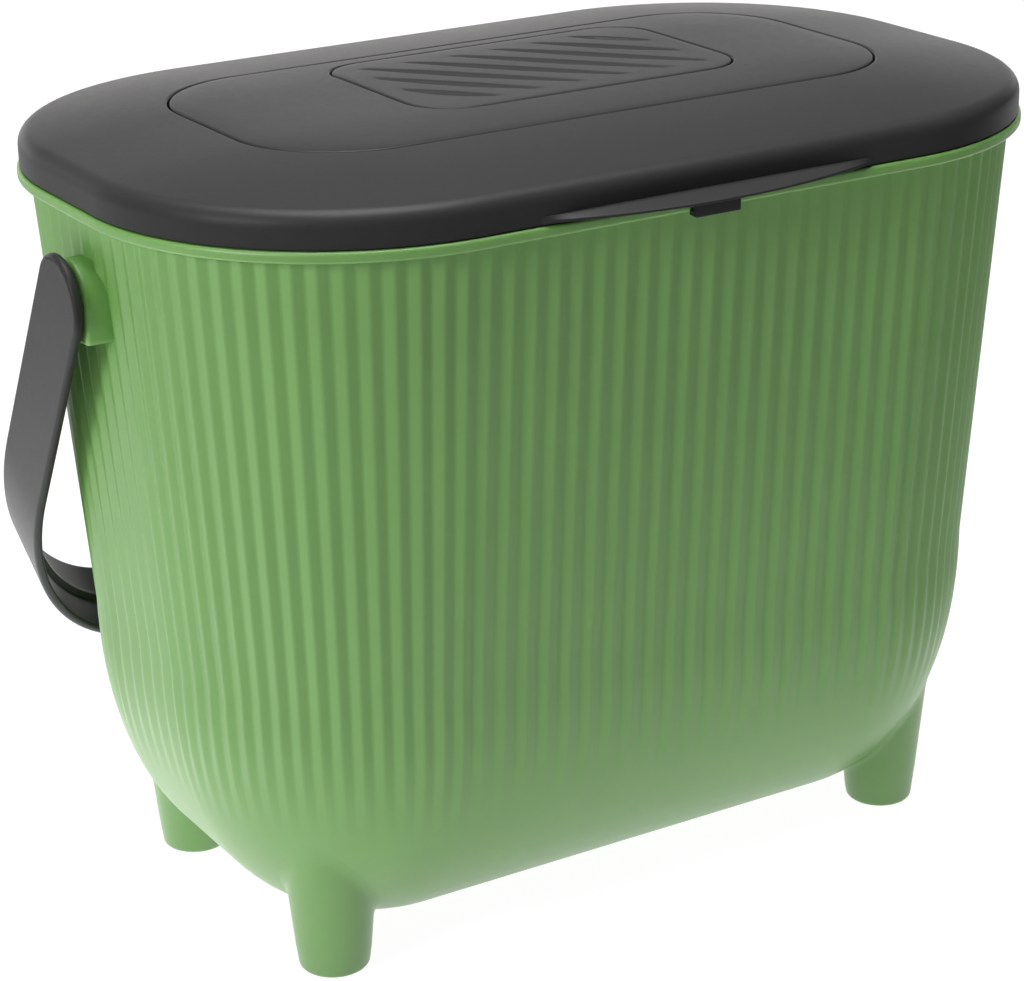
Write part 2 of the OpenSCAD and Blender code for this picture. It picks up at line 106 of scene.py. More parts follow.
class PailSizes(bpy.types.PropertyGroup):
    """Sizes of the reeded pail"""
    flange_r: length("Offset of the rim flange", 62.3)
    flange_z: length("Height of the flange's lower edge", 181)
    flange_t: length("Thickness of the flange", 2.6)
    flange_edge: length("Rounding of the flange's edges", 0.8)
    rim_z: length("Height of the rim inside the lid", 187.1)
    wall_r: length("Offset of the wall's crests under the flange", 59.4)
    wall_t: length("Thickness from a crest to the inside", 2.8)
    rim_in: length("How far the plain rim stands in from the crests", 0.6)
    draft: number("Inward lean of the wall for each unit of height", 0.076)
    turn_z: length("Height where the straight wall turns into the bottom", 75)
    turn_power: number("Exponent of the bottom's curve, where 2 is an ellipse", 2.25)
    base_z: length("Height of the flat underside", 5)
    base_r: length("Offset of the flat underside", 4)
    reeds_long: whole("Reeds on each long side", 20)
    reeds_short: whole("Reeds on each short side", 5)
    reeds_corner: whole("Reeds round each corner", 17)
    reed_depth: length("Depth of the grooves", 0.9)
    notch_w: length("Width of the flange's notch for the snap", 12.6)
    notch_in: length("Depth of that notch", 1.8)


class FootSizes(bpy.types.PropertyGroup):
    """Sizes of the feet"""
    foot_x: length("Distance of the feet from the middle, along X", 81)
    foot_y: length("Distance of the feet from the middle, along Y", 37.7)
    foot_r: length("Radius of a foot on the floor", 8.5)
    foot_draft: number("Outward lean of a foot's side for each unit of height", 0.095)
    foot_edge: length("Rounding of a foot's lower edge", 1.6)
    fillet: length("Length of the fillet between a foot and the pail, each way", 2.6)


class HingeSizes(bpy.types.PropertyGroup):
    """Sizes of the handle's bosses and the lid's hinges"""
    boss_x: length("Distance of the boss's face from the middle", 120.6)
    boss_r: length("Radius of the boss", 9.2)
    boss_edge: length("Rounding of the boss's edge", 1.0)
    hinge_x: length("Distance of a hinge from the middle", 42)
    hinge_y: length("Place of the hinge pins along Y", 81.2)
    hinge_z: length("Height of the hinge pins", 182.3)
    eye_r: length("Radius of the hinge eyes", 3.5)
    lug_w: length("Width of the lid's lug", 10)
    ear_w: length("Width of each of the pail's ears", 4.5)
    edge: length("Rounding of the lugs' and ears' edges", 0.4)
    gap: length("Gap between a lug and its ears", 0.3)


class LidSizes(bpy.types.PropertyGroup):
    """Sizes of the lid"""
    lid_r: length("Offset of the lid's skirt", 61.7)
    skirt_z: length("Height of the skirt's lower edge", 183.9)
    shoulder_r: length("Radius of the rounded shoulder", 4)
    deck_z: length("Height where the crown begins", 192.2)
    top_z: length("Height of the lid's middle", corner("lid_panel").z)
    crown_power: number("Exponent of the crown's fall, where 2 is a parabola", 2.1)
    panel_z: length("Height of the panel's underside", corner("lid_panel", 0).z)
    shelf_w: length("Width of the shelf under the panel", 5)
    lid_t: length("Wall thickness of the lid", 2)
    seam_w: length("Width of the seams", 0.5)
    seam_edge: length("Rounding of the edges along the seams", 0.55)
    seal_in: length("Offset of the seal channel's inner side", 56.06)
    seal_z: length("Height of the seal's seat", 189.6)
    lip_reach: length("Reach of the grip lip beyond the skirt", 7.5)
    lip_len: length("Length of the grip lip", 88)
    lip_t: length("Thickness of the grip lip at the skirt", 2)
    catch_w: length("Width of the front snap", 12)
    catch_t: length("Thickness of the front snap", 1.6)
    catch_z: length("Height of the snap's lower end", 180)


class VentSizes(bpy.types.PropertyGroup):
    """Sizes of the vent cover and its slits"""
    vent_x: length("Length of the vent cover", 88)
    vent_y: length("Width of the vent cover", 57)
    vent_r: length("Corner radius of the vent cover", 12)
    vent_dx: length("Place of the vent cover's middle along X", 5)
    vent_dy: length("Place of the vent cover's middle along Y", 6.6)
    vent_t: length("Thickness of the cover at its middle", corner("lid_panel").z - corner("vent_cover", 0).z)
    seat_gap: length("Gap between the cover's underside and its ledge", 0.05)
    ledge: length("Width of the ledge under the cover", 2)
    edge: length("Rounding of the cover's edge", 0.5)
    slits: whole("Number of slits", 8)
    slit_w: length("Width of a slit's scoop at its middle", 4.5)
    slit_open: number("Share of the scoop's width that is open right through", 0.42)
    slit_depth: length("Depth of the scoop", 1.3)
    slit_pitch: length("Distance between two slits, square to their length", 9.4)
    slit_margin: length("Plain border round the slits", 5)
    slit_share: number("Share of the clear slant line that a slit takes", 0.92)
    slit_angle: radians("Slant of the slits", -50)


class HandleSizes(bpy.types.PropertyGroup):
    """Sizes of the handle"""
    pivot_z: length("Height of the handle's pivots", 161.9)
    width: length("Width of the strap", 21.4)
    arm_lean: number("How far the arms lean in for each unit of their length", 0.038)
    top_x: length("Distance of an arm's outer face from the middle, at its upper end", corner("handle").x)
    reach: length("Length from the pivots to the grip's outer face", 131.4)
    thickness: length("Thickness of the strap", 2.2)
    edge: length("Rounding of the strap's edges", 0.9)
    bend_x: length("Length of the corner curve along X", 41)
    bend_r: length("Length of the corner curve along the arms", 68.6)
    ridge_w: length("Width of the ridge inside the grip", 2.4)
    ridge_h: length("Height of that ridge", 1.4)
    peg_r: length("Radius of the pegs", 4)
    peg_x: length("Distance of the pegs' inner ends from the middle", 114.9)


class FinishColours(bpy.types.PropertyGroup):
    """Colours of the finishes"""
    green: colour("Moulded pail", (0.176, 0.4, 0.092))
    charcoal: colour("Moulded lid and handle", (0.034, 0.034, 0.035))
    pad: colour("Carbon foam", (0.012, 0.012, 0.013))
    seal: colour("Silicone seal", (0.56, 0.56, 0.53))
    steel: colour("Hinge pins", (0.62, 0.62, 0.64))


class StageSizes(bpy.types.PropertyGroup):
    """Floor, lamps and camera"""
    floor: length("Half width of the floor", 6000)
    key: number("Power of the lamp at the left, in watts", 11.5)
    top: number("Power of the lamp above, in watts", 14)
    back: number("Power of the lamp behind, whose reflection lights the lid's top, in watts", 17)
    sky: number("Strength of the world's light", 0.08)
    azimuth: radians("Turn of the camera from the front", -30.833)
    elevation: radians("Height of the camera as an angle", 20.848)
    roll: radians("Roll of the camera", -1.151)
    distance: length("Distance of the camera", 743.83)
    lens: number("Focal length for a sensor 36 mm wide", 105.2)
    shift_x: number("Shift of the picture along its width, as a share of the width", 0.0012)
    shift_y: number("Shift of the picture along its height, as a share of the width", 0.0033)
    target_x: length("Point the camera looks at, along X", -7.278)
    target_z: length("Point the camera looks at, along Z", 91.342)


GROUPS = {"bin_plan": PlanSizes, "bin_pail": PailSizes, "bin_feet": FootSizes, "bin_hinge": HingeSizes,
          "bin_lid": LidSizes, "bin_vent": VentSizes, "bin_handle": HandleSizes, "bin_finish": FinishColours,
          "bin_stage": StageSizes}


# Surfaces as arrays

def outline(circles, per_arc, sides):
    """Columns round the outline of an elastic band about some circles: points and outward directions.

    They run anticlockwise. The band leaves circle 1 for circle 2 at the angle of the line between their
    centres, less the angle whose cosine is (radius 1 - radius 2) / distance. Between two such angles it follows
    the circle, in per_arc equal steps. sides gives for each straight stretch a number of equal steps, or the
    shares of its length where points lie.
    """
    count = len(circles)
    leave = []
    for (u, v, r), (nu, nv, nr) in zip(circles, circles[1:] + circles[:1]):
        leave.append(math.atan2(nv - v, nu - u) - math.acos((r - nr) / math.hypot(nu - u, nv - v)))
    points, ways = [], []
    for k, (u, v, r) in enumerate(circles):
        first, last = leave[k - 1], leave[k]
        last += 2 * math.pi * math.ceil((first - last) / (2 * math.pi))
        angle = np.linspace(first, last, per_arc + 1)
        way = np.stack([np.cos(angle), np.sin(angle)], 1)
        at = np.array([u, v]) + r * way
        nu, nv, nr = circles[(k + 1) % count]
        share = sides[k % len(sides)]
        share = np.arange(1, share) / share if np.isscalar(share) else np.asarray(share)
        ahead = np.array([nu, nv]) + nr * way[-1]
        points += [at, at[-1] + share[:, None] * (ahead - at[-1])]
        ways += [way, np.repeat(way[-1:], len(share), 0)]
    return np.concatenate(points), np.concatenate(ways)


def circle(columns):
    """Outward directions of the columns round a circle."""
    angle = np.linspace(0, 2 * np.pi, columns, endpoint=False)
    return np.stack([np.cos(angle), np.sin(angle)], 1)


def rectangle(half_x, half_y, radius=0.0, centre=(0.0, 0.0)):
    """The four circles inside the corners of a rectangle, anticlockwise from its right back corner."""
    return [(centre[0] + sx * (half_x - radius), centre[1] + sy * (half_y - radius), radius)
            for sx, sy in ((1, 1), (-1, 1), (-1, -1), (1, -1))]


def plan_columns(plan, per_arc, per_long, per_short):
    """Columns round the plan rectangle, whose long sides come after its first and third corners."""
    return outline(rectangle(plan.core_x, plan.core_y), per_arc, (per_long, per_short))


def carried(columns, offset, height, axes=(X, Y, Z), centre=(0.0, 0.0, 0.0)):
    """Grid of points whose row i is the outline moved outwards by offset i, at height i along the third axis.

    Either may also have a value for every column.
    """
    base, way = columns
    offset, height = (np.reshape(a, (-1, 1)) if np.ndim(a) < 2 else a for a in (offset, height))
    flat = base + offset[..., None] * way
    height = np.broadcast_to(height, flat.shape[:2])[..., None]
    return np.asarray(centre) + flat[..., :1] * axes[0] + flat[..., 1:] * axes[1] + height * axes[2]


def fan(ring, pole, upwards):
    """Triangles from a ring of numbers to a pole's number."""
    ahead = np.roll(ring, -1)
    sides = (ring, ahead) if upwards else (ahead, ring)
    return np.stack([*sides, np.full_like(ring, pole), np.full_like(ring, -1)], 1)


def skin(grid, rows_closed=False, columns_closed=True, low=None, high=None):
    """Points and faces of a grid, with a fan to a pole at its low or high end.

    Rows that go up and columns that go anticlockwise, seen from above, face outwards.
    """
    rows, columns = grid.shape[:2]
    numbers = np.arange(rows * columns).reshape(rows, columns)
    lower = numbers if rows_closed else numbers[:-1]
    upper = np.roll(numbers, -1, 0) if rows_closed else numbers[1:]
    quads = np.stack([lower, np.roll(lower, -1, 1), np.roll(upper, -1, 1), upper], -1)
    quads = quads if columns_closed else quads[:, :-1]
    points, faces = [grid.reshape(-1, 3)], [quads.reshape(-1, 4)]
    for pole, ring, upwards in ((low, numbers[0], False), (high, numbers[-1], True)):
        if pole is not None:
            faces.append(fan(ring, sum(map(len, points)), upwards))
            points.append(np.reshape(pole, (1, 3)))
    return np.concatenate(points), np.concatenate(faces)


def rounded(corners, steps=4, guard=0.3 * MM):
    """Closed profile with arcs at its corners, each given as (u, v, radius).

    An arc touches both edges of its corner, at radius / tan(half the corner's angle) from it. Where there is
    room, a guard point just past each end keeps the shading of the flat beside it flat. Radius 0 leaves the
    corner as it is.
    """
    points = np.array([c[:2] for c in corners])
    profile = []
    for i, (u, v, radius) in enumerate(corners):
        at = points[i]
        if radius == 0:
            profile.append(at[None])
            continue
        before, after = points[i - 1] - at, points[(i + 1) % len(points)] - at
        reach_before, reach_after = np.linalg.norm(before), np.linalg.norm(after)
        before, after = before / reach_before, after / reach_after
        half = math.acos(np.clip(before @ after, -1, 1)) / 2
        tangent = radius / math.tan(half)
        centre = at + (before + after) / np.linalg.norm(before + after) * radius / math.sin(half)
        start, end = at + before * tangent - centre, at + after * tangent - centre
        share = np.linspace(0, 1, steps + 1)[:, None]
        sweep = math.pi - 2 * half
        arc = centre + (np.sin((1 - share) * sweep) * start + np.sin(share * sweep) * end) / math.sin(sweep)
        if tangent + guard < reach_before / 2:
            profile.append((at + before * (tangent + guard))[None])
        profile.append(arc)
        if tangent + guard < reach_after / 2:
            profile.append((at + after * (tangent + guard))[None])
    return np.concatenate(profile)


def slab(circles, low, high, edge, axes=(X, Y, Z), per_arc=8, sides=(1,), low_edge=None):
    """Closed plate: an outline carried from low to high, drawn in along a quarter circle at both ends.

    A guard ring, 2.2 edge radii inside each end, keeps the shading of the flat beside it flat.
    """
    columns = outline(circles, per_arc, sides)
    low_edge = edge if low_edge is None else low_edge
    guard = 2.2
    offset = np.concatenate([[-guard * low_edge], -low_edge * ROUND_IN,
                             -edge * ROUND_IN[::-1], [-guard * edge]])
    height = np.concatenate([[low], low + low_edge * ROUND_UP, high - edge * ROUND_UP[::-1], [high]])
    u, v = columns[0].mean(0)
    poles = [u * axes[0] + v * axes[1] + h * axes[2] for h in (low, high)]
    return skin(carried(columns, offset, height, axes), low=poles[0], high=poles[1])


def join(parts):
    """One list of points and one of faces from several."""
    shifts = np.cumsum([0] + [len(points) for points, _ in parts[:-1]])
    faces = [np.where(faces < 0, -1, faces + shift) for (_, faces), shift in zip(parts, shifts)]
    return np.concatenate([points for points, _ in parts]), np.concatenate(faces)


def add_piece(name, parts, body, slot, node, sharp=32, weld=False):
    """Puts the surfaces into one mesh object, in place, with its slot's finish and the CAD node it shows.

    Edges stay sharp where faces meet at more than sharp degrees. weld joins points that lie together.
    """
    points, faces = join(parts)
    sizes = np.where(faces[:, 3] < 0, 3, 4)
    corners = faces[faces >= 0]
    mesh = bpy.data.meshes.new(name)
    mesh.vertices.add(len(points))
    mesh.vertices.foreach_set("co", points.astype(np.float32).ravel())
    mesh.loops.add(len(corners))
    mesh.loops.foreach_set("vertex_index", corners.astype(np.int32))
    mesh.polygons.add(len(faces))
    mesh.polygons.foreach_set("loop_start", (np.cumsum(sizes) - sizes).astype(np.int32))
    mesh.update(calc_edges=True)
    if weld:
        work = bmesh.new()
        work.from_mesh(mesh)
        bmesh.ops.remove_doubles(work, verts=work.verts, dist=0.002 * MM)
        work.to_mesh(mesh)
        work.free()
    if mesh.validate():
        raise RuntimeError(f"the surface of {name} has faulty faces")
    mesh.shade_smooth()
    mesh.set_sharp_from_angle(angle=math.radians(sharp))
    mesh.materials.append(bpy.data.materials[SLOT_FINISH[slot]])
    piece = bpy.data.objects.new(name, mesh)
    bpy.context.scene.collection.objects.link(piece)
    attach(piece, body)
    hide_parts(node)
    return piece


# Finishes

SLOT_FINISH = {"green": "green_plastic", "charcoal": "charcoal_plastic",
               "pad": "carbon_foam", "seal": "silicone"}


class Wire:
    """An output socket that takes part in sums: each operator adds a Math node and gives its output."""

    def __init__(self, socket):
        self.socket = socket

    def math(self, operation, *inputs):
        """Adds a Math node to the socket's own tree."""
        tree = Tree(self.socket.id_data)
        return tree.add("ShaderNodeMath", dict(enumerate(inputs)), operation=operation)["Value"]

    def __add__(self, other):
        return self.math("ADD", self, other)

    def __sub__(self, other):
        return self.math("SUBTRACT", self, other)

    def __rsub__(self, other):
        return self.math("SUBTRACT", other, self)

    def __mul__(self, other):
        return self.math("MULTIPLY", self, other)

    __radd__ = __add__
    __rmul__ = __mul__


class Tree:
    """A material's or a world's node tree."""

    def __init__(self, node_tree):
        self.node_tree = node_tree

    def add(self, kind, values=(), **settings):
        """Adds a node, sets it up, fills its inputs with values or links, and returns its outputs by name."""
        node = self.node_tree.nodes.new(kind)
        for name, value in settings.items():
            setattr(node, name, value)
        for name, value in dict(values).items():
            if isinstance(value, Wire):
                self.node_tree.links.new(value.socket, node.inputs[name])
            else:
                node.inputs[name].default_value = value
        return {socket.name: Wire(socket) for socket in node.outputs if socket.enabled}

    def noise(self, place, scale, detail=3.0, roughness=0.5):
        """Noise between 0 and 1 whose features are about 1 / scale metres wide."""
        return self.add("ShaderNodeTexNoise", {"Vector": place, "Scale": scale, "Detail": detail,
                                               "Roughness": roughness})["Fac"]

    def stretched(self, place, scale):
        """The place scaled along each axis: a pattern read there is stretched where the scale is small."""
        return self.add("ShaderNodeMapping", {"Vector": place, "Scale": scale})["Vector"]

    def bump(self, height, distance, strength):
        """Normals of a surface that the height, from 0 to 1, would raise by up to this distance."""
        return self.add("ShaderNodeBump", {"Strength": strength, "Distance": distance,
                                           "Height": height})["Normal"]

    def tinted(self, base, factor, amount):
        """The base colour made brighter where factor is over 0.5 and darker where it is under."""
        low, high = (tuple(min(c * (1 + s * amount), 1) for c in base) + (1,) for s in (-1, 1))
        return self.add("ShaderNodeMix", {"Factor": factor, "A": low, "B": high}, data_type="RGBA")["Result"]

    def smooth_range(self, value, start, end):
        """Maps the range start to the range end along a smooth step, and holds the end values outside it."""
        return self.add("ShaderNodeMapRange", {"Value": value, "From Min": start[0], "From Max": start[1],
                                               "To Min": end[0], "To Max": end[1]},
                        interpolation_type="SMOOTHSTEP")["Result"]

    def surface(self, values):
        """Ends a material in a Principled shader with these socket values."""
        shader = self.add("ShaderNodeBsdfPrincipled", values)["BSDF"]
        self.add("ShaderNodeOutputMaterial", {"Surface": shader})


def new_finish(name):
    """A new material: its node tree, and the place on the object as an output of that tree."""
    material = bpy.data.materials.new(name)
    material.use_nodes = True
    material.node_tree.nodes.clear()
    tree = Tree(material.node_tree)
    return tree, tree.add("ShaderNodeTexCoord")["Object"]


def moulded(name, base, grain, streaks, sheen):
    """Moulded plastic: a fine spark-eroded grain, faint flow streaks along the height, a slow change of tone.

    The bump is grain noise plus slower waviness. Roughness follows the tone and the scuffs.
    """
    tree, place = new_finish(name)
    fine = tree.noise(place, 2600, 2)
    wavy = tree.noise(place, 160, 2)
    tone = tree.noise(place, 14, 3)
    flow = tree.noise(tree.stretched(place, (1.0, 1.0, 0.12)), 90, 3)
    scuff = tree.noise(place, 420, 4, 0.7)
    blend = tone * 0.5 + flow * streaks + scuff * (0.5 - streaks)
    tree.surface({
        "Base Color": tree.tinted(base, blend, 0.16),
        "Roughness": tone * 0.08 + scuff * 0.1 + 0.35,
        "Normal": tree.bump(fine * grain + wavy * 0.25, 0.12 * MM, 0.35),
        "Specular IOR Level": sheen,
    })


def foam(name, base):
    """Open carbon foam: cells of a Voronoi pattern dent the surface, and specks change its tone."""
    tree, place = new_finish(name)
    cells = tree.add("ShaderNodeTexVoronoi", {"Vector": place, "Scale": 900.0}, feature="F1")["Distance"]
    speck = tree.noise(place, 3000, 2)
    tree.surface({
        "Base Color": tree.tinted(base, speck, 0.6),
        "Roughness": speck * 0.14 + 0.82,
        "Normal": tree.bump(cells + speck * 0.4, 0.5 * MM, 0.9),
        "Specular IOR Level": 0.3,
    })


def silicone(name, base):
    """Soft silicone: smooth, with a fine grain, and a bloom that changes its tone and its roughness."""
    tree, place = new_finish(name)
    bloom = tree.noise(place, 60, 4)
    fine = tree.noise(place, 1500, 2)
    tree.surface({
        "Base Color": tree.tinted(base, bloom, 0.1),
        "Roughness": bloom * 0.14 + 0.42,
        "Normal": tree.bump(fine + bloom * 0.5, 0.08 * MM, 0.25),
        "Subsurface Weight": 0.05,
    })


def drawn_steel(name, base):
    """Drawn rod: fine lines along X, as noise that is stretched along the pin."""
    tree, place = new_finish(name)
    lines = tree.noise(tree.stretched(place, (0.03, 1.0, 1.0)), 4000, 2)
    tree.surface({
        "Base Color": tree.tinted(base, lines, 0.12),
        "Roughness": lines * 0.14 + 0.26,
        "Metallic": 1.0,
        "Normal": tree.bump(lines, 0.02 * MM, 0.3),
    })


class BIN_OT_finishes(bpy.types.Operator):
    """Makes the finishes, and gives them to the CAD nodes that stay"""
    bl_idname = "compost_bin.finishes"
    bl_label = "Finishes"

    def execute(self, context):
        colours = context.scene.bin_finish
        moulded("green_plastic", colours.green, grain=0.5, streaks=0.3, sheen=1.0)
        moulded("charcoal_plastic", colours.charcoal, grain=0.9, streaks=0.15, sheen=0.2)
        foam("carbon_foam", colours.pad)
        silicone("silicone", colours.seal)
        drawn_steel("drawn_steel", colours.steel)
        kept = {"strainer": "charcoal_plastic", "filter_tray": "charcoal_plastic",
                "hinge_pin_left": "drawn_steel", "hinge_pin_right": "drawn_steel"}
        for node, finish in kept.items():
            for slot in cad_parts[node].material_slots:
                slot.material = bpy.data.materials[finish]
        return {"FINISHED"}


# The pail

def wall_offset(pail, z):
    """Offset of the wall's crests at a height above the turn."""
    return pail.wall_r - pail.draft * (pail.flange_z - z)


def bottom_curve(pail, degrees, inside):
    """Offset and height on the bottom's curve, a superellipse from the turn (0 degrees) to the flat (90)."""
    angle = np.radians(degrees)
    extra = pail.wall_t if inside else 0.0
    turn, low = wall_offset(pail, pail.turn_z) - extra, pail.base_z + extra
    power = 2 / pail.turn_power
    return (pail.base_r + (turn - pail.base_r) * np.cos(angle) ** power,
            pail.turn_z - (pail.turn_z - low) * np.sin(angle) ** power)


def underside(pail, offset):
    """Height of the pail's outside at an offset from the plan rectangle, on the same superellipse."""
    share = np.clip((offset - pail.base_r) / (wall_offset(pail, pail.turn_z) - pail.base_r), 0, 1)
    return pail.turn_z - (pail.turn_z - pail.base_z) * (1 - share ** pail.turn_power) ** (1 / pail.turn_power)


def plan_offset(plan, x, y):
    """Distance of a point from the plan rectangle."""
    return np.hypot(np.maximum(np.abs(x) - plan.core_x, 0), np.maximum(np.abs(y) - plan.core_y, 0))


def pail_wall(plan, pail):
    """Reeded shell, from the pole of its underside over the rim to the pole of its floor.

    The outside is drawn in by reed depth x |1 - 2 x place in the reed|, a zigzag that smooth shading rounds.
    It fades out as half a cosine wave over the first degrees of the bottom's curve.
    """
    samples, fade, edge, behind_flange = 10, 31, 0.5 * MM, 0.6 * MM
    columns = plan_columns(plan, samples * pail.reeds_corner, samples * pail.reeds_long,
                           samples * pail.reeds_short)
    place = np.arange(len(columns[0])) % samples / samples
    groove = np.abs(1 - 2 * place)

    degrees = np.linspace(90, 0, 31)
    low_r, low_z = bottom_curve(pail, degrees, inside=False)
    wall_z = np.linspace(pail.turn_z, pail.flange_z + behind_flange, 9)[1:]
    depth = np.concatenate([0.5 + 0.5 * np.cos(np.pi * np.clip(degrees / fade, 0, 1)), np.ones(len(wall_z))])

    rim_r = pail.wall_r - pail.rim_in
    rim_in, flange_in = (wall_offset(pail, z) - pail.wall_t for z in (pail.rim_z, pail.flange_z))
    rim = rounded([(rim_r, wall_z[-1], 0), (rim_r, pail.rim_z, edge), (rim_in, pail.rim_z, edge),
                   (flange_in, pail.flange_z, 0)])
    in_z = np.linspace(pail.flange_z, pail.turn_z, 5)[1:-1]
    in_r, in_low = bottom_curve(pail, np.linspace(0, 90, 15), inside=True)
    offset = np.concatenate([low_r, wall_offset(pail, wall_z), rim[:, 0],
                             wall_offset(pail, in_z) - pail.wall_t, in_r])
    height = np.concatenate([low_z, wall_z, rim[:, 1], in_z, in_low])
    cut = np.concatenate([depth, np.zeros(len(offset) - len(depth))])
    grid = carried(columns, offset[:, None] - pail.reed_depth * cut[:, None] * groove, height)
    return skin(grid, low=height[0] * Z, high=height[-1] * Z)


def pail_flange(plan, pail):
    """Flat ring round the rim, with rounded edges and a notch at the front for the lid's snap.

    Two columns stand close together at each side of the notch, and make its side walls.
    """
    half, apart, clear = pail.notch_w / 2, 0.05 * MM, 0.01
    marks = np.array([-half - apart, -half, half, half + apart]) / (2 * plan.core_x) + 0.5
    steps = np.arange(1, 24) / 24
    steps = steps[(steps < marks[0] - clear) | (steps > marks[-1] + clear)]
    columns = outline(rectangle(plan.core_x, plan.core_y), 40, (24, 6, np.sort([*marks, *steps, 0.5]), 6))
    top = pail.flange_z + pail.flange_t
    in_wall = pail.wall_r - pail.wall_t / 2
    profile = rounded([(in_wall, pail.flange_z, 0), (pail.flange_r, pail.flange_z, pail.flange_edge),
                       (pail.flange_r, top, pail.flange_edge), (in_wall, top, 0)])
    base = columns[0]
    in_notch = (np.abs(base[:, 0]) < half + apart / 2) & (base[:, 1] < 0)
    offset = np.where(in_notch, np.minimum(profile[:, :1], pail.flange_r - pail.notch_in), profile[:, :1])
    return skin(carried(columns, offset, profile[:, 1]), rows_closed=True)


def pail_foot(plan, pail, feet, sx, sy):
    """Tapered foot with a rounded lower edge and a fillet into the pail.

    The height where each column's cone line meets the underside is found by halving. The fillet is a quadratic
    Bezier curve, (1 - t)^2 a + 2 t (1 - t) b + t^2 c, from the foot (a) over that meeting point (b) to a point
    further out and just inside the pail (c). A last ring lies hidden inside the pail.
    """
    columns, edge, sunk, hidden, pole_rise = 64, feet.foot_edge, 0.15 * MM, 0.8 * MM, 14 * MM
    way = circle(columns)
    centre = np.array([sx * feet.foot_x, sy * feet.foot_y])

    def cone(z):
        return feet.foot_r + feet.foot_draft * z

    def on_pail(radius):
        x, y = (centre + radius[:, None] * way).T
        return underside(pail, plan_offset(plan, x, y))

    low, high = np.full(columns, pail.base_z), np.full(columns, pail.turn_z)
    for _ in range(30):
        middle = (low + high) / 2
        under = middle < on_pail(cone(middle))
        low, high = np.where(under, middle, low), np.where(under, high, middle)
    seam_z, seam_r = low, cone(low)
    start_z = seam_z - feet.fillet
    end_r = seam_r + feet.fillet
    end_z = on_pail(end_r) + sunk

    angle = np.radians(np.linspace(-90, -5.5, 7))[:, None]
    level = np.ones(columns)
    side_z = edge + (start_z - edge) * np.array([[0.25], [0.5], [0.75], [0.95]])
    t = np.linspace(0, 1, 7)[:, None]
    a, b, c = (1 - t) ** 2, 2 * t * (1 - t), t ** 2
    radius = np.concatenate([(feet.foot_r - edge + edge * np.cos(angle)) * level, cone(side_z),
                             a * cone(start_z) + b * seam_r + c * end_r, end_r[None]])
    height = np.concatenate([(edge + edge * np.sin(angle)) * level, side_z,
                             a * start_z + b * seam_z + c * end_z, end_z[None] + hidden])
    grid = np.concatenate([centre + radius[..., None] * way, height[..., None]], -1)
    return skin(grid, low=(*centre, 0.0), high=(*centre, pail.base_z + pole_rise))


def handle_boss(plan, pail, hinge, handle, side):
    """Boss with a round top and a flat lower edge, from inside the wall to just behind the strap."""
    corner_r = 2 * MM
    low = corner_r - hinge.boss_r
    circles = [(0.0, 0.0, hinge.boss_r), (low, low, corner_r), (-low, low, corner_r)]
    inside = plan.core_x + wall_offset(pail, handle.pivot_z + hinge.boss_r) - pail.wall_t
    points, faces = slab(circles, inside + 0.1 * MM, hinge.boss_x, hinge.boss_edge, (side * Y, Z, side * X),
                         per_arc=16, low_edge=0.05 * MM)
    return points + handle.pivot_z * Z, faces


def hinge_block(hinge, centre_x, width, root, high, low):
    """Eye of a hinge and the block that carries it: a band about the eye and two small circles at the root."""
    small = 0.3 * MM
    circles = [(hinge.hinge_y, hinge.hinge_z, hinge.eye_r), (root, high, small), (root, low, small)]
    return slab(circles, centre_x - width / 2, centre_x + width / 2, hinge.edge, (Y, Z, X), per_arc=10)


class BIN_OT_pail(bpy.types.Operator):
    """Reeded pail with its flange, feet, handle bosses and hinge ears"""
    bl_idname = "compost_bin.pail"
    bl_label = "Pail"

    def execute(self, context):
        scene = context.scene
        plan, pail, hinge = scene.bin_plan, scene.bin_pail, scene.bin_hinge
        feet = [pail_foot(plan, pail, scene.bin_feet, sx, sy) for sx in SIDES for sy in SIDES]
        bosses = [handle_boss(plan, pail, hinge, scene.bin_handle, side) for side in SIDES]
        root = plan.core_y + pail.flange_r - 0.4 * MM
        low, high = hinge.hinge_z - hinge.eye_r + 0.3 * MM, pail.flange_z + pail.flange_t - 0.5 * MM
        shift = (hinge.lug_w + hinge.ear_w) / 2 + hinge.gap
        ears = [hinge_block(hinge, side * hinge.hinge_x + end * shift, hinge.ear_w, root, high, low)
                for side in SIDES for end in SIDES]
        for name, parts, sharp in (("pail_wall", [pail_wall(plan, pail)], 50),
                                   ("pail_flange", [pail_flange(plan, pail)], 32),
                                   ("pail_feet", feet, 50),
                                   ("handle_bosses", bosses, 32),
                                   ("hinge_ears", ears, 32)):
            add_piece(name, parts, "pail", "green", "bucket", sharp)
        return {"FINISHED"}


# The lid

def crown_height(lid, offset):
    """Height of the lid's top: it falls from the middle as a power of the offset from the plan rectangle."""
    share = np.maximum(offset, 0) / (lid.lid_r - lid.shoulder_r)
    return lid.top_z - (lid.top_z - lid.deck_z) * share ** lid.crown_power


def crowned(plan, lid, flat):
    """Points of a flat grid raised to the lid's crowned top."""
    z = crown_height(lid, plan_offset(plan, flat[..., 0], flat[..., 1]))
    return np.concatenate([flat[..., :2], z[..., None]], -1)


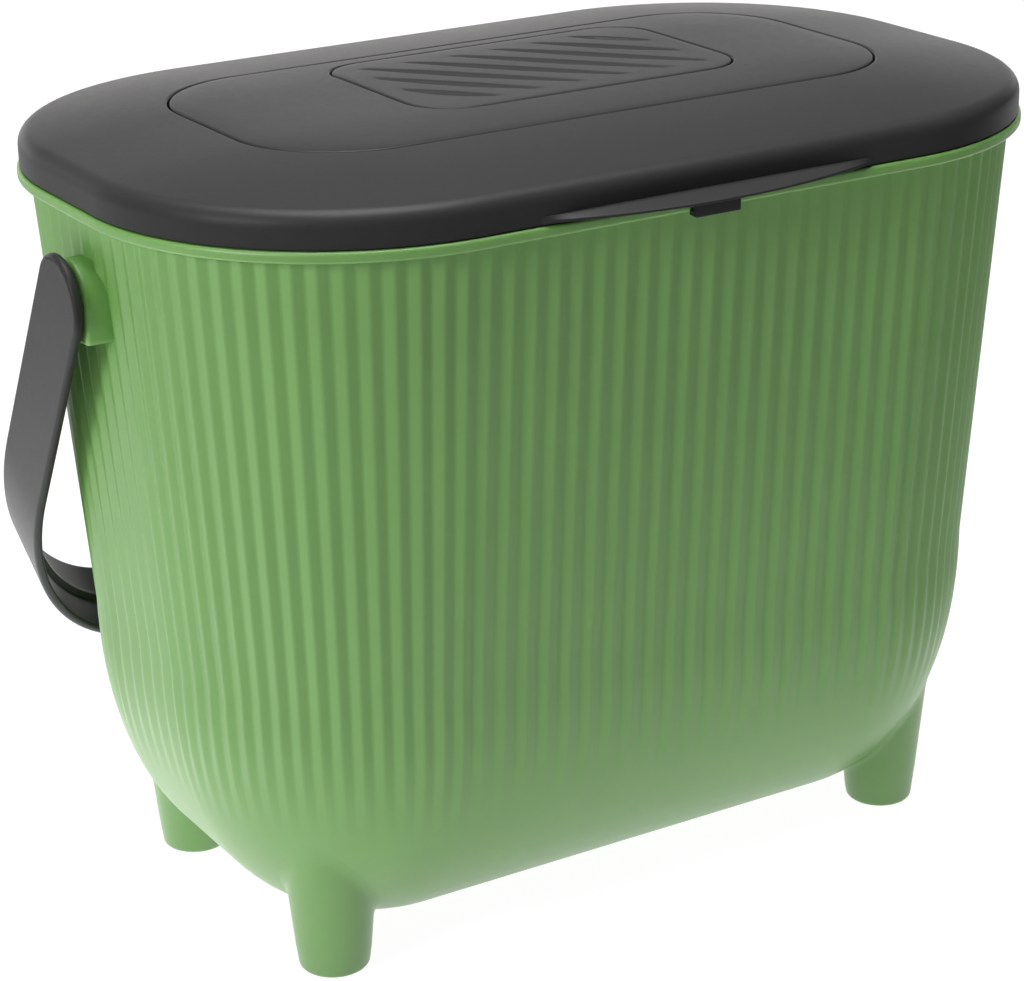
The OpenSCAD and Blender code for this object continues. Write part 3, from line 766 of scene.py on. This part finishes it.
def lid_ring(plan, lid):
    """Lid from its skirt over the shoulder and deck to the panel's seat, and the seal's channel under it."""
    skirt_edge, shelf_edge, rib_edge, rib_w, rib_h = 0.35 * MM, 0.4 * MM, 0.3 * MM, 0.9 * MM, 1.4 * MM
    shoulder = 0.92 * lid.shoulder_r  # the arc ends a little before the deck's first point
    seat_r = plan.panel_r + lid.seam_w
    deck = [(r, crown_height(lid, r), 0)
            for r in np.linspace(lid.lid_r - lid.shoulder_r, seat_r + 0.9 * MM, 9)]
    slope = (deck[0][1] - deck[1][1]) / (deck[0][0] - deck[1][0])
    rib_r, rib_z = lid.seal_in - rib_w, lid.seal_z - rib_h
    under = [(r, crown_height(lid, r) - lid.lid_t, 0) for r in np.linspace(seat_r + lid.lid_t, rib_r, 6)]
    shelf_r, shelf_z = seat_r - lid.shelf_w, lid.panel_z - lid.lid_t
    skirt_in = lid.lid_r - lid.lid_t
    profile = rounded(
        [(lid.lid_r, lid.skirt_z, skirt_edge), (lid.lid_r, deck[0][1] + slope * lid.shoulder_r, shoulder)]
        + deck
        + [(seat_r, crown_height(lid, seat_r), lid.seam_edge), (seat_r, lid.panel_z, 0),
           (shelf_r, lid.panel_z, 0), (shelf_r, shelf_z, shelf_edge),
           (seat_r + lid.lid_t, shelf_z, shelf_edge)]
        + under
        + [(rib_r, rib_z, rib_edge), (lid.seal_in, rib_z, rib_edge), (lid.seal_in, lid.seal_z, 0),
           (skirt_in, lid.seal_z, 0), (skirt_in, lid.skirt_z, skirt_edge)], steps=6)
    return skin(carried(plan_columns(plan, 36, 30, 10), profile[:, 0], profile[:, 1]), rows_closed=True)


def grip_lip(plan, lid):
    """Lens-shaped lip on the front: its reach follows a circle's arc, and its top slopes to a thin round edge.

    A point of the section at a share s of the reach lies at skirt + s x (sqrt(R^2 - x^2) - R + reach), where
    R = ((length / 2)^2 + reach^2) / (2 x reach). The section is given as (reach, height over the skirt's edge).
    """
    radius = ((lid.lip_len / 2) ** 2 + lid.lip_reach ** 2) / (2 * lid.lip_reach)
    x = lid.lip_len / 2 * np.sin(np.radians(np.linspace(90, -90, 49)))
    reach = np.sqrt(radius ** 2 - x ** 2) - radius + lid.lip_reach
    inside, tip = -0.8 * MM, lid.lip_reach
    section = rounded([(inside, 0, 0), (0.3 * MM, 0, 0), (tip, 0.4 * MM, 0.25 * MM), (tip, 1.0 * MM, 0.3 * MM),
                       (2.0 * MM, lid.lip_t - 0.1 * MM, 0.6 * MM), (inside, lid.lip_t, 0)]) + [0, lid.skirt_z]
    out = np.where(section[:, 0] > 0, section[:, 0] * (reach / lid.lip_reach)[:, None], section[:, 0])
    front = plan.core_y + lid.lid_r
    grid = -Y * (front + out)[..., None] + Z * section[:, 1][None, :, None] + X * x[:, None, None]
    ends = [-Y * (front - 0.5 * MM) + Z * (lid.skirt_z + lid.lip_t / 2) + X * end for end in (x[0], x[-1])]
    return skin(grid, low=ends[0], high=ends[1])


def front_catch(plan, pail, lid):
    """Front snap: a tab in front of the flange, with a toe at its lower end that passes through the notch."""
    front, gap = -plan.core_y - pail.flange_r, 0.3 * MM
    tab = rectangle(lid.catch_w / 2, lid.catch_t / 2, 0.5 * MM, (0.0, front - gap - lid.catch_t / 2))
    toe = rectangle(lid.catch_w / 2 - 0.2 * MM, 1.2 * MM, 0.3 * MM, (0.0, front + 0.1 * MM))
    return [slab(tab, lid.catch_z, lid.skirt_z + 1.2 * MM, 0.35 * MM),
            slab(toe, lid.catch_z, lid.catch_z + 1.4 * MM, 0.3 * MM)]


def lid_panel(plan, lid, vent):
    """Middle panel: a rounded outer edge, a crowned top, and a stepped recess and window for the vent cover.

    Between the outer outline and the recess's, whose columns match, the points are their straight blend.
    """
    out_r, edge, small = plan.panel_r, lid.seam_edge, 0.2 * MM
    per_arc, sides = 14, (26, 10)
    outer = outline(rectangle(plan.core_x, plan.core_y), per_arc, sides)
    recess = outline(rectangle(vent.vent_x / 2, vent.vent_y / 2, vent.vent_r, (vent.vent_dx, vent.vent_dy)),
                     per_arc, sides)
    rim_z, seat, window = crown_height(lid, out_r), lid.top_z - vent.vent_t, -vent.ledge
    side = carried(outer, np.concatenate([[out_r, out_r], out_r - edge * ROUND_UP]),
                   np.concatenate([[lid.panel_z, rim_z - 2 * edge], rim_z - edge * ROUND_IN]))
    first = carried(outer, [out_r - 1.6 * edge], [0.0])
    last = carried(recess, [lid.seam_w + 1.2 * edge], [0.0])
    share = np.linspace(0, 1, 8)[:, None, None]
    top = crowned(plan, lid, first * (1 - share) + last * share)
    bend = crowned(plan, lid, carried(recess, lid.seam_w + edge * ROUND_IN, np.zeros(len(ROUND_IN))))
    bend[..., 2] -= (edge * ROUND_UP)[:, None]
    inside = carried(recess, [lid.seam_w, lid.seam_w, window + small, window, window, window + small],
                     [seat + small, seat, seat, seat - small, lid.panel_z + small, lid.panel_z])
    return skin(np.concatenate([side, top, bend, inside]), rows_closed=True)


class BIN_OT_lid(bpy.types.Operator):
    """Lid with its grip lip, front snap and hinge lugs, and the panel let into it"""
    bl_idname = "compost_bin.lid"
    bl_label = "Lid"

    def execute(self, context):
        scene = context.scene
        plan, pail, hinge, lid = scene.bin_plan, scene.bin_pail, scene.bin_hinge, scene.bin_lid
        root = plan.core_y + lid.lid_r - 0.4 * MM
        low, high = lid.skirt_z + 0.3 * MM, hinge.hinge_z + hinge.eye_r - 0.3 * MM
        lugs = [hinge_block(hinge, side * hinge.hinge_x, hinge.lug_w, root, high, low) for side in SIDES]
        for name, parts, node in (("lid_shell_skin", [lid_ring(plan, lid)], "lid_shell"),
                                  ("lid_lip", [grip_lip(plan, lid)], "lid_shell"),
                                  ("lid_catch", front_catch(plan, pail, lid), "lid_shell"),
                                  ("lid_lugs", lugs, "lid_shell"),
                                  ("lid_panel_skin", [lid_panel(plan, lid, scene.bin_vent)], "lid_panel")):
            add_piece(name, parts, "lid", "charcoal", node)
        return {"FINISHED"}


# The vent

def vent_cover(plan, lid, vent):
    """Vent cover on a slanted grid: rows are chords of its outline along the slits, and bend round each slit.

    A place is given as s along the slits and d across them. A chord's point is low end + t x (high end - low
    end). Along a slit, t runs from tip to tip over the middle columns, and the slit's two rows part by its half
    width x (1 - sigma^2), where sigma runs from -1 to 1. The scoop's far side slopes to the opening's edge, at
    depth x (1 - sigma^2), and both sides then go straight down.
    """
    along = np.array([math.cos(vent.slit_angle), math.sin(vent.slit_angle)])
    across = np.array([-along[1], along[0]])
    centre = np.array([vent.vent_dx, vent.vent_dy])
    half_x, half_y = vent.vent_x / 2, vent.vent_y / 2
    base, way = outline(rectangle(half_x, half_y, vent.vent_r), 48, (40, 30))
    inset = base - vent.edge * way
    s, d = inset @ along, inset @ across
    first = int(np.argmin(d))
    s, d, way = (np.roll(a, -first, 0) for a in (s, d, way))
    top = int(np.argmax(d))
    high_side = [a[:top + 1] for a in (d, s, way)]
    low_side = [a[:top - 1:-1] for a in (d, s, way)]

    def chord_end(at, side):
        """Place s of a chord's end at a distance across, and the outline's direction there."""
        side_d, side_s, side_way = side
        return np.interp(at, side_d, side_s), np.stack([np.interp(at, side_d, w) for w in side_way.T], -1)

    border, middle = 4, 36
    sigma = np.linspace(-1, 1, middle + 1)
    bulge = np.concatenate([np.zeros(border), 1 - sigma ** 2, np.zeros(border)]) * vent.slit_w / 2
    field = np.array([half_x, half_y]) - vent.slit_margin
    slits = (np.arange(vent.slits) - (vent.slits - 1) / 2) * vent.slit_pitch

    def shares(at):
        """Places t along the chord at a slit's distance across, with its tips on the columns at the border."""
        limits = np.sort([(-field - at * across) / along, (field - at * across) / along], 0)
        low_tip, high_tip = limits[0].max(), limits[1].min()
        mid, half = (low_tip + high_tip) / 2, (high_tip - low_tip) / 2 * vent.slit_share
        low, high = (chord_end(at, side)[0] for side in (low_side, high_side))
        tips = (np.array([mid - half, mid + half]) - low) / (high - low)
        return np.concatenate([np.linspace(0, tips[0], border, endpoint=False),
                               tips[0] + (sigma + 1) / 2 * (tips[1] - tips[0]),
                               np.linspace(tips[1], 1, border + 1)[1:]])

    # Rows past the outermost slits stand closer towards the outline's ends
    near_end, far_end = d.min(), d.max()
    to_border = np.array([0.01, 0.04, 0.1, 0.18, 0.28, 0.4, 0.54, 0.7, 0.86])
    rows = [(near_end + (slits[0] - near_end) * a, shares(slits[0]), 0) for a in to_border]
    for i, at in enumerate(slits):
        rows += [(at, shares(at), -1), (at, shares(at), 1)]
        if i + 1 < len(slits):
            rows += [(at + vent.slit_pitch * f, shares(at) * (1 - f) + shares(slits[i + 1]) * f, 0)
                     for f in (0.3, 0.4, 0.5, 0.6, 0.7)]
    rows += [(far_end - (far_end - slits[-1]) * a, shares(slits[-1]), 0) for a in to_border[::-1]]

    place, share, sign = (np.array(column) for column in zip(*rows))
    (low_s, low_way), (high_s, high_way) = (chord_end(place, side) for side in (low_side, high_side))
    s_grid = low_s[:, None] + share * (high_s - low_s)[:, None]
    d_grid = place[:, None] + sign[:, None] * bulge

    def flat(s_values, d_values):
        return centre + s_values[..., None] * along + d_values[..., None] * across

    def level(points, z):
        return np.concatenate([points, np.full(points.shape[:-1] + (1,), z)], -1)

    def raised(at, drop=0.0):
        points = crowned(plan, lid, at)
        points[..., 2] -= drop
        return points

    near = np.flatnonzero(sign < 0)
    far = near + 1
    under_d = d_grid.copy()
    under_d[far] = d_grid[near] + (d_grid[far] - d_grid[near]) * vent.slit_open
    floor_z = lid.top_z - vent.vent_t + vent.seat_gap
    upper = raised(flat(s_grid, d_grid))
    under = flat(s_grid, under_d)
    lower = level(under, floor_z)

    between = np.ones(len(rows) - 1, bool)
    between[near] = False
    numbers = np.arange(s_grid.size).reshape(s_grid.shape)
    quads = np.stack([numbers[:-1, :-1], numbers[:-1, 1:], numbers[1:, 1:], numbers[1:, :-1]], -1)
    quads = quads[between].reshape(-1, 4)
    parts = [(upper.reshape(-1, 3), quads), (lower.reshape(-1, 3), quads[:, ::-1])]

    columns = slice(border, border + middle + 1)
    floor = raised(under, bulge / (vent.slit_w / 2) * vent.slit_depth)
    for n in near:
        rings = [np.concatenate([grid[n, columns], grid[n + 1, columns][-2:0:-1]])
                 for grid in (upper, floor, lower)]
        parts.append(skin(np.stack(rings)))

    far_pole = len(rows) + 1
    loop_s = np.concatenate([s[:1], high_s, s[top:top + 1], low_s[::-1]])
    loop_d = np.concatenate([[near_end], place, [far_end], place[::-1]])
    loop_way = np.concatenate([way[:1], high_way, way[top:top + 1], low_way[::-1]])
    ring = flat(loop_s, loop_d)
    side = [raised(ring + vent.edge * np.sin(a) * loop_way, vent.edge * (1 - np.cos(a)))
            for a in QUARTER[::-1]]
    foot = [level(ring + out * loop_way, floor_z) for out in (0.0, vent.edge)]
    parts.append(skin(np.stack(foot + side)))
    for row, pole, upwards in ((upper[0], side[-1][0], False), (lower[0], foot[0][0], True),
                               (upper[-1], side[-1][far_pole], True), (lower[-1], foot[0][far_pole], False)):
        parts.append((np.concatenate([row, pole[None]]), fan(np.arange(len(row)), len(row), upwards)[:-1]))
    return parts


def filter_pad():
    """Foam plate with rounded edges, on the tray's grid."""
    low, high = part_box("carbon_filter")
    half, middle = (high - low) / 2, (low + high) / 2
    return slab(rectangle(half.x, half.y, 5 * MM, (middle.x, middle.y)), low.z, high.z, 1.2 * MM,
                per_arc=10, sides=(16, 10))


def seal_ring(plan, lid):
    """Soft ring in the lid's channel, whose lower side is a round bead."""
    low, high = (end.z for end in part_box("lid_seal"))
    gap, bead, small = 0.1 * MM, 0.9 * MM, 0.1 * MM
    inner, outer = lid.seal_in + gap, lid.lid_r - lid.lid_t - gap
    profile = rounded([(inner, low, bead), (outer, low, bead),
                       (outer, high, small), (inner, high, small)], steps=6)
    return skin(carried(plan_columns(plan, 28, 20, 6), profile[:, 0], profile[:, 1]), rows_closed=True)


class BIN_OT_vent(bpy.types.Operator):
    """Vent cover with its slanted slits, the filter pad under it and the lid's seal"""
    bl_idname = "compost_bin.vent"
    bl_label = "Vent, filter and seal"

    def execute(self, context):
        scene = context.scene
        plan, lid, vent = scene.bin_plan, scene.bin_lid, scene.bin_vent
        add_piece("vent_cover_skin", vent_cover(plan, lid, vent), "cover", "charcoal", "vent_cover", weld=True)
        pad = add_piece("carbon_pad", [filter_pad()], "lid", "pad", "carbon_filter")
        add_piece("seal_ring", [seal_ring(plan, lid)], "lid", "seal", "lid_seal")
        return {"FINISHED"}


# The handle

def handle_axes(handle):
    """The handle's own axes as it hangs at rest: along X, across the strap, and away from the pivots.

    Its lean follows from its box: reach x sin(lean) + half width x cos(lean) is its highest Y.
    """
    high_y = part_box("handle")[1].y
    half = handle.width / 2
    lean = math.asin(high_y / math.hypot(handle.reach, half)) - math.atan(half / handle.reach)
    away = np.array([0.0, math.sin(lean), -math.cos(lean)])
    return X, np.cross(away, X), away


def arm_x(handle):
    """Distance of an arm's outer face from the middle, at the pivots."""
    return handle.top_x - handle.arm_lean * handle.width / 2


def strap(handle):
    """Strap of the handle, swept along its middle line: round end, leaning arm, elliptical corner, grip, back.

    The arm and the corner are sheared inwards by the arm's lean: x - lean x distance from the pivots. In the
    round ends the half width at a distance e from the pivot is sqrt(r^2 - e^2), and the thickness falls along a
    quarter circle towards the edge. A ridge stands on the grip's inner face.
    """
    radius, thick, edge = handle.width / 2, handle.thickness, handle.edge
    size_x, size_t = handle.bend_x - thick / 2, handle.bend_r - thick / 2
    centre_x, centre_t = arm_x(handle) - handle.bend_x, handle.reach - handle.bend_r

    # One half of the middle line: its places x and t from the pivots, and its outward directions
    end = -radius * np.sin(np.radians(np.linspace(90, 0, 22)))
    arm = np.linspace(0, centre_t, 9)[1:-1]
    angle = np.radians(np.linspace(0, 90, 41))
    top = centre_t + size_t
    grip = np.linspace(centre_x - handle.arm_lean * top, 0, 15)[1:]
    t = np.concatenate([end, arm, centre_t + size_t * np.sin(angle), np.full(len(grip), top)])
    bent = len(end) + len(arm)
    x = np.concatenate([np.full(bent, arm_x(handle) - thick / 2), centre_x + size_x * np.cos(angle)])
    x = np.concatenate([x - handle.arm_lean * t[:len(x)], grip])
    bend = np.stack([size_t * np.cos(angle),
                     size_x * np.sin(angle) + handle.arm_lean * size_t * np.cos(angle)], 1)
    normal = np.concatenate([np.tile([1.0, handle.arm_lean], (bent, 1)), bend,
                             np.tile([0.0, 1.0], (len(grip), 1))])
    normal /= np.linalg.norm(normal, axis=1)[:, None]

    # The ridge rises over the first degrees of the corner, and beyond is how far a place lies past the pivot
    rise = 30
    ramp = np.clip(np.concatenate([np.zeros(bent), np.degrees(angle) / rise, np.ones(len(grip))]), 0, 1)
    ramp = ramp * ramp * (3 - 2 * ramp)
    beyond = np.concatenate([end, np.zeros(len(x) - len(end))])

    back = slice(-2, None, -1)
    x = np.concatenate([x, -x[back]])
    t, ramp, beyond = (np.concatenate([a, a[back]]) for a in (t, ramp, beyond))
    normal = np.concatenate([normal, normal[back] * [-1, 1]])

    # Places across the strap: at its two edges by their depth from the edge, between them by their distance
    turn = np.radians(np.linspace(0, 90, 6))
    inset = np.concatenate([edge * (1 - np.cos(turn)), [edge + 0.3 * MM]])
    flat = np.array([8, 5, 2.6, 1.35, 1.15, 0.85, 0.5, 0.2]) * MM
    flat = np.concatenate([-flat, [0.0], flat[::-1]])
    none = np.zeros(len(inset))
    depth = np.concatenate([inset, np.full(len(flat), edge), inset[::-1]])
    side = np.concatenate([none - 1, np.zeros(len(flat)), none + 1])
    fixed = np.concatenate([none, flat, none])

    half = np.sqrt(np.maximum((radius - depth) ** 2 - beyond[:, None] ** 2, 0))
    across = np.where(side == 0, np.clip(fixed, -half, half), side * half)
    left = np.clip(np.minimum(radius + beyond[:, None], depth), 0, edge)
    lift = thick / 2 - edge + np.sqrt(edge ** 2 - (edge - left) ** 2)
    slope = np.clip((np.abs(across) - handle.ridge_w / 6) / (handle.ridge_w / 3), 0, 1)
    ridge = handle.ridge_h * 0.5 * (1 + np.cos(np.pi * slope)) * ramp[:, None] * (side == 0)

    across = np.concatenate([across, across[:, ::-1]], 1)
    lift = np.concatenate([lift, -(lift + ridge)[:, ::-1]], 1)
    axis_x, axis_across, axis_t = handle_axes(handle)
    plane = np.stack([x, t], 1)[:, None] + normal[:, None] * lift[..., None]
    return (plane[..., :1] * axis_x + plane[..., 1:] * axis_t + across[..., None] * axis_across
            + handle.pivot_z * Z)


def peg(handle, side):
    """Round peg with a rounded inner end, from inside the bore in its boss to inside the strap."""
    edge, sunk = 0.6 * MM, 1.2 * MM
    way = circle(40)
    offset = np.concatenate([handle.peg_r - edge * ROUND_IN, [handle.peg_r]])
    height = np.concatenate([handle.peg_x + edge * ROUND_UP, [arm_x(handle) - sunk]])
    middle = handle.pivot_z * Z
    return skin(carried((np.zeros(way.shape), way), offset, height, (side * Y, Z, side * X), middle),
                low=middle + side * X * height[0], high=middle + side * X * height[-1])


class BIN_OT_handle(bpy.types.Operator):
    """Swing handle: a wide flat strap with round ends, a ridge inside the grip, and two pegs"""
    bl_idname = "compost_bin.handle"
    bl_label = "Handle"

    def execute(self, context):
        handle = context.scene.bin_handle
        add_piece("handle_strap", [skin(strap(handle))], "bail", "charcoal", "handle", sharp=40, weld=True)
        add_piece("handle_pegs", [peg(handle, side) for side in SIDES], "bail", "charcoal", "handle")
        return {"FINISHED"}


# Floor, lamps and camera

def area_lamp(name, power, place, size, tint):
    """Soft box that faces the bin's middle, with its size given as (width, height)."""
    light = bpy.data.lights.new(name, "AREA")
    light.shape, light.energy, light.color = "RECTANGLE", power, tint
    light.size, light.size_y = size
    lamp = bpy.data.objects.new(name, light)
    lamp.location = place
    lamp.visible_camera = False
    middle = Vector((0, 0, 0.1))
    lamp.rotation_euler = (middle - Vector(place)).to_track_quat("-Z", "Y").to_euler()
    bpy.context.scene.collection.objects.link(lamp)


def pale_floor(half):
    """Square floor that is white to the camera and keeps the bin's shadow.

    Diffuse rays meet a pale diffuse surface. The camera sees that surface mixed with an even white, which has
    the larger share. Glossy rays see a painted reflection instead: a glow that is no lamp, strongest on the
    floor just behind the bin and fading away from it, which paints the plastic's sheen.
    """
    white, white_share = 1.15, 0.84
    corners = [(-half, -half, 0), (half, -half, 0), (half, half, 0), (-half, half, 0)]
    mesh = bpy.data.meshes.new("floor")
    mesh.from_pydata(corners, [], [(0, 1, 2, 3)])
    tree, place = new_finish("pale_floor")
    ray = tree.add("ShaderNodeLightPath")
    glossy, seen = ray["Is Glossy Ray"], ray["Is Camera Ray"] + ray["Is Transmission Ray"]
    y = tree.add("ShaderNodeSeparateXYZ", {"Vector": place})["Y"]
    far = tree.add("ShaderNodeVectorMath", {0: place}, operation="LENGTH")["Value"]
    # Painted reflection: only glossy rays see this glow, brightest just behind the bin and fainter further off
    behind = tree.smooth_range(y, (-0.28, 0.18), (0.3, 2.45))
    painted_glow_falloff = tree.smooth_range(far, (0.12, 0.55), (1.0, 0.35))
    lit = tree.add("ShaderNodeBsdfDiffuse", {"Color": (0.9, 0.9, 0.9, 1)})["BSDF"]
    glow = tree.add("ShaderNodeEmission", {"Color": (1 - glossy) * white + glossy * behind * painted_glow_falloff})["Emission"]
    mixed = tree.add("ShaderNodeMixShader", {"Fac": glossy + seen * white_share, 1: lit, 2: glow})["Shader"]
    tree.add("ShaderNodeOutputMaterial", {"Surface": mixed})
    mesh.materials.append(bpy.data.materials["pale_floor"])
    floor = bpy.data.objects.new("floor", mesh)
    bpy.context.scene.collection.objects.link(floor)


def studio_world(sky):
    """World that is white to the camera and lights the bin with only a little even light."""
    world = bpy.data.worlds.new("studio")
    bpy.context.scene.world = world
    world.use_nodes = True
    world.node_tree.nodes.clear()
    tree = Tree(world.node_tree)
    ray = tree.add("ShaderNodeLightPath")
    seen = ray["Is Camera Ray"] + ray["Is Transmission Ray"]
    tree.add("ShaderNodeOutputWorld", {
        "Surface": tree.add("ShaderNodeBackground", {"Color": seen * (1 - sky) + sky})["Background"]})


def photo_camera(sizes):
    """Camera at the photograph's place, which looks at the target from its direction and is then rolled."""
    data = bpy.data.cameras.new("photo_view")
    data.sensor_width, data.lens = 36, sizes.lens
    data.shift_x, data.shift_y = sizes.shift_x, sizes.shift_y
    data.clip_start, data.clip_end = 0.02, 20
    camera = bpy.data.objects.new("photo_view", data)
    a, e, roll = sizes.azimuth, sizes.elevation, sizes.roll
    back = Vector((math.sin(a) * math.cos(e), -math.cos(a) * math.cos(e), math.sin(e)))
    right = Vector((math.cos(a), math.sin(a), 0))
    up = back.cross(right)
    right, up = math.cos(roll) * right + math.sin(roll) * up, -math.sin(roll) * right + math.cos(roll) * up
    turn = Matrix((right, up, back)).transposed().to_4x4()
    target = Vector((sizes.target_x, 0, sizes.target_z))
    camera.matrix_world = Matrix.Translation(target + back * sizes.distance) @ turn
    bpy.context.scene.collection.objects.link(camera)
    bpy.context.scene.camera = camera


class BIN_OT_stage(bpy.types.Operator):
    """Plain pale floor, soft studio light, and the camera at the photograph's angle"""
    bl_idname = "compost_bin.stage"
    bl_label = "Stage"

    def execute(self, context):
        scene, sizes = context.scene, context.scene.bin_stage
        pale_floor(sizes.floor)
        studio_world(sizes.sky)
        area_lamp("key", sizes.key, (-1.5, -0.4, 0.8), (0.4, 0.6), (1.0, 0.985, 0.96))
        area_lamp("top", sizes.top, (0, 0.02, 1.15), (0.7, 0.7), (1.0, 1.0, 1.0))
        area_lamp("back", sizes.back, (0.7, 2.2, 0.4), (4.5, 0.7), (1.0, 0.98, 0.96))
        photo_camera(sizes)
        scene.view_settings.view_transform = "Standard"
        return {"FINISHED"}


OPERATORS = (BIN_OT_stage, BIN_OT_finishes, BIN_OT_pail, BIN_OT_lid, BIN_OT_vent, BIN_OT_handle)


class BIN_PT_panel(bpy.types.Panel):
    """Lists the bin's pieces and its stage"""
    bl_idname = "BIN_PT_panel"
    bl_label = "Compost bin"
    bl_space_type = "VIEW_3D"
    bl_region_type = "UI"
    bl_category = "Compost bin"

    def draw(self, context):
        for operator in OPERATORS:
            self.layout.operator(operator.bl_idname)


def register():
    for name, group in GROUPS.items():
        bpy.utils.register_class(group)
        setattr(bpy.types.Scene, name, PointerProperty(type=group))
    for cls in (*OPERATORS, BIN_PT_panel):
        bpy.utils.register_class(cls)


def unregister():
    for cls in (BIN_PT_panel, *reversed(OPERATORS)):
        bpy.utils.unregister_class(cls)
    for name, group in reversed(GROUPS.items()):
        delattr(bpy.types.Scene, name)
        bpy.utils.unregister_class(group)


def main():
    register()
    for operator in OPERATORS:
        space, name = operator.bl_idname.split(".")
        getattr(getattr(bpy.ops, space), name)()


if __name__ == "__main__":
    main()
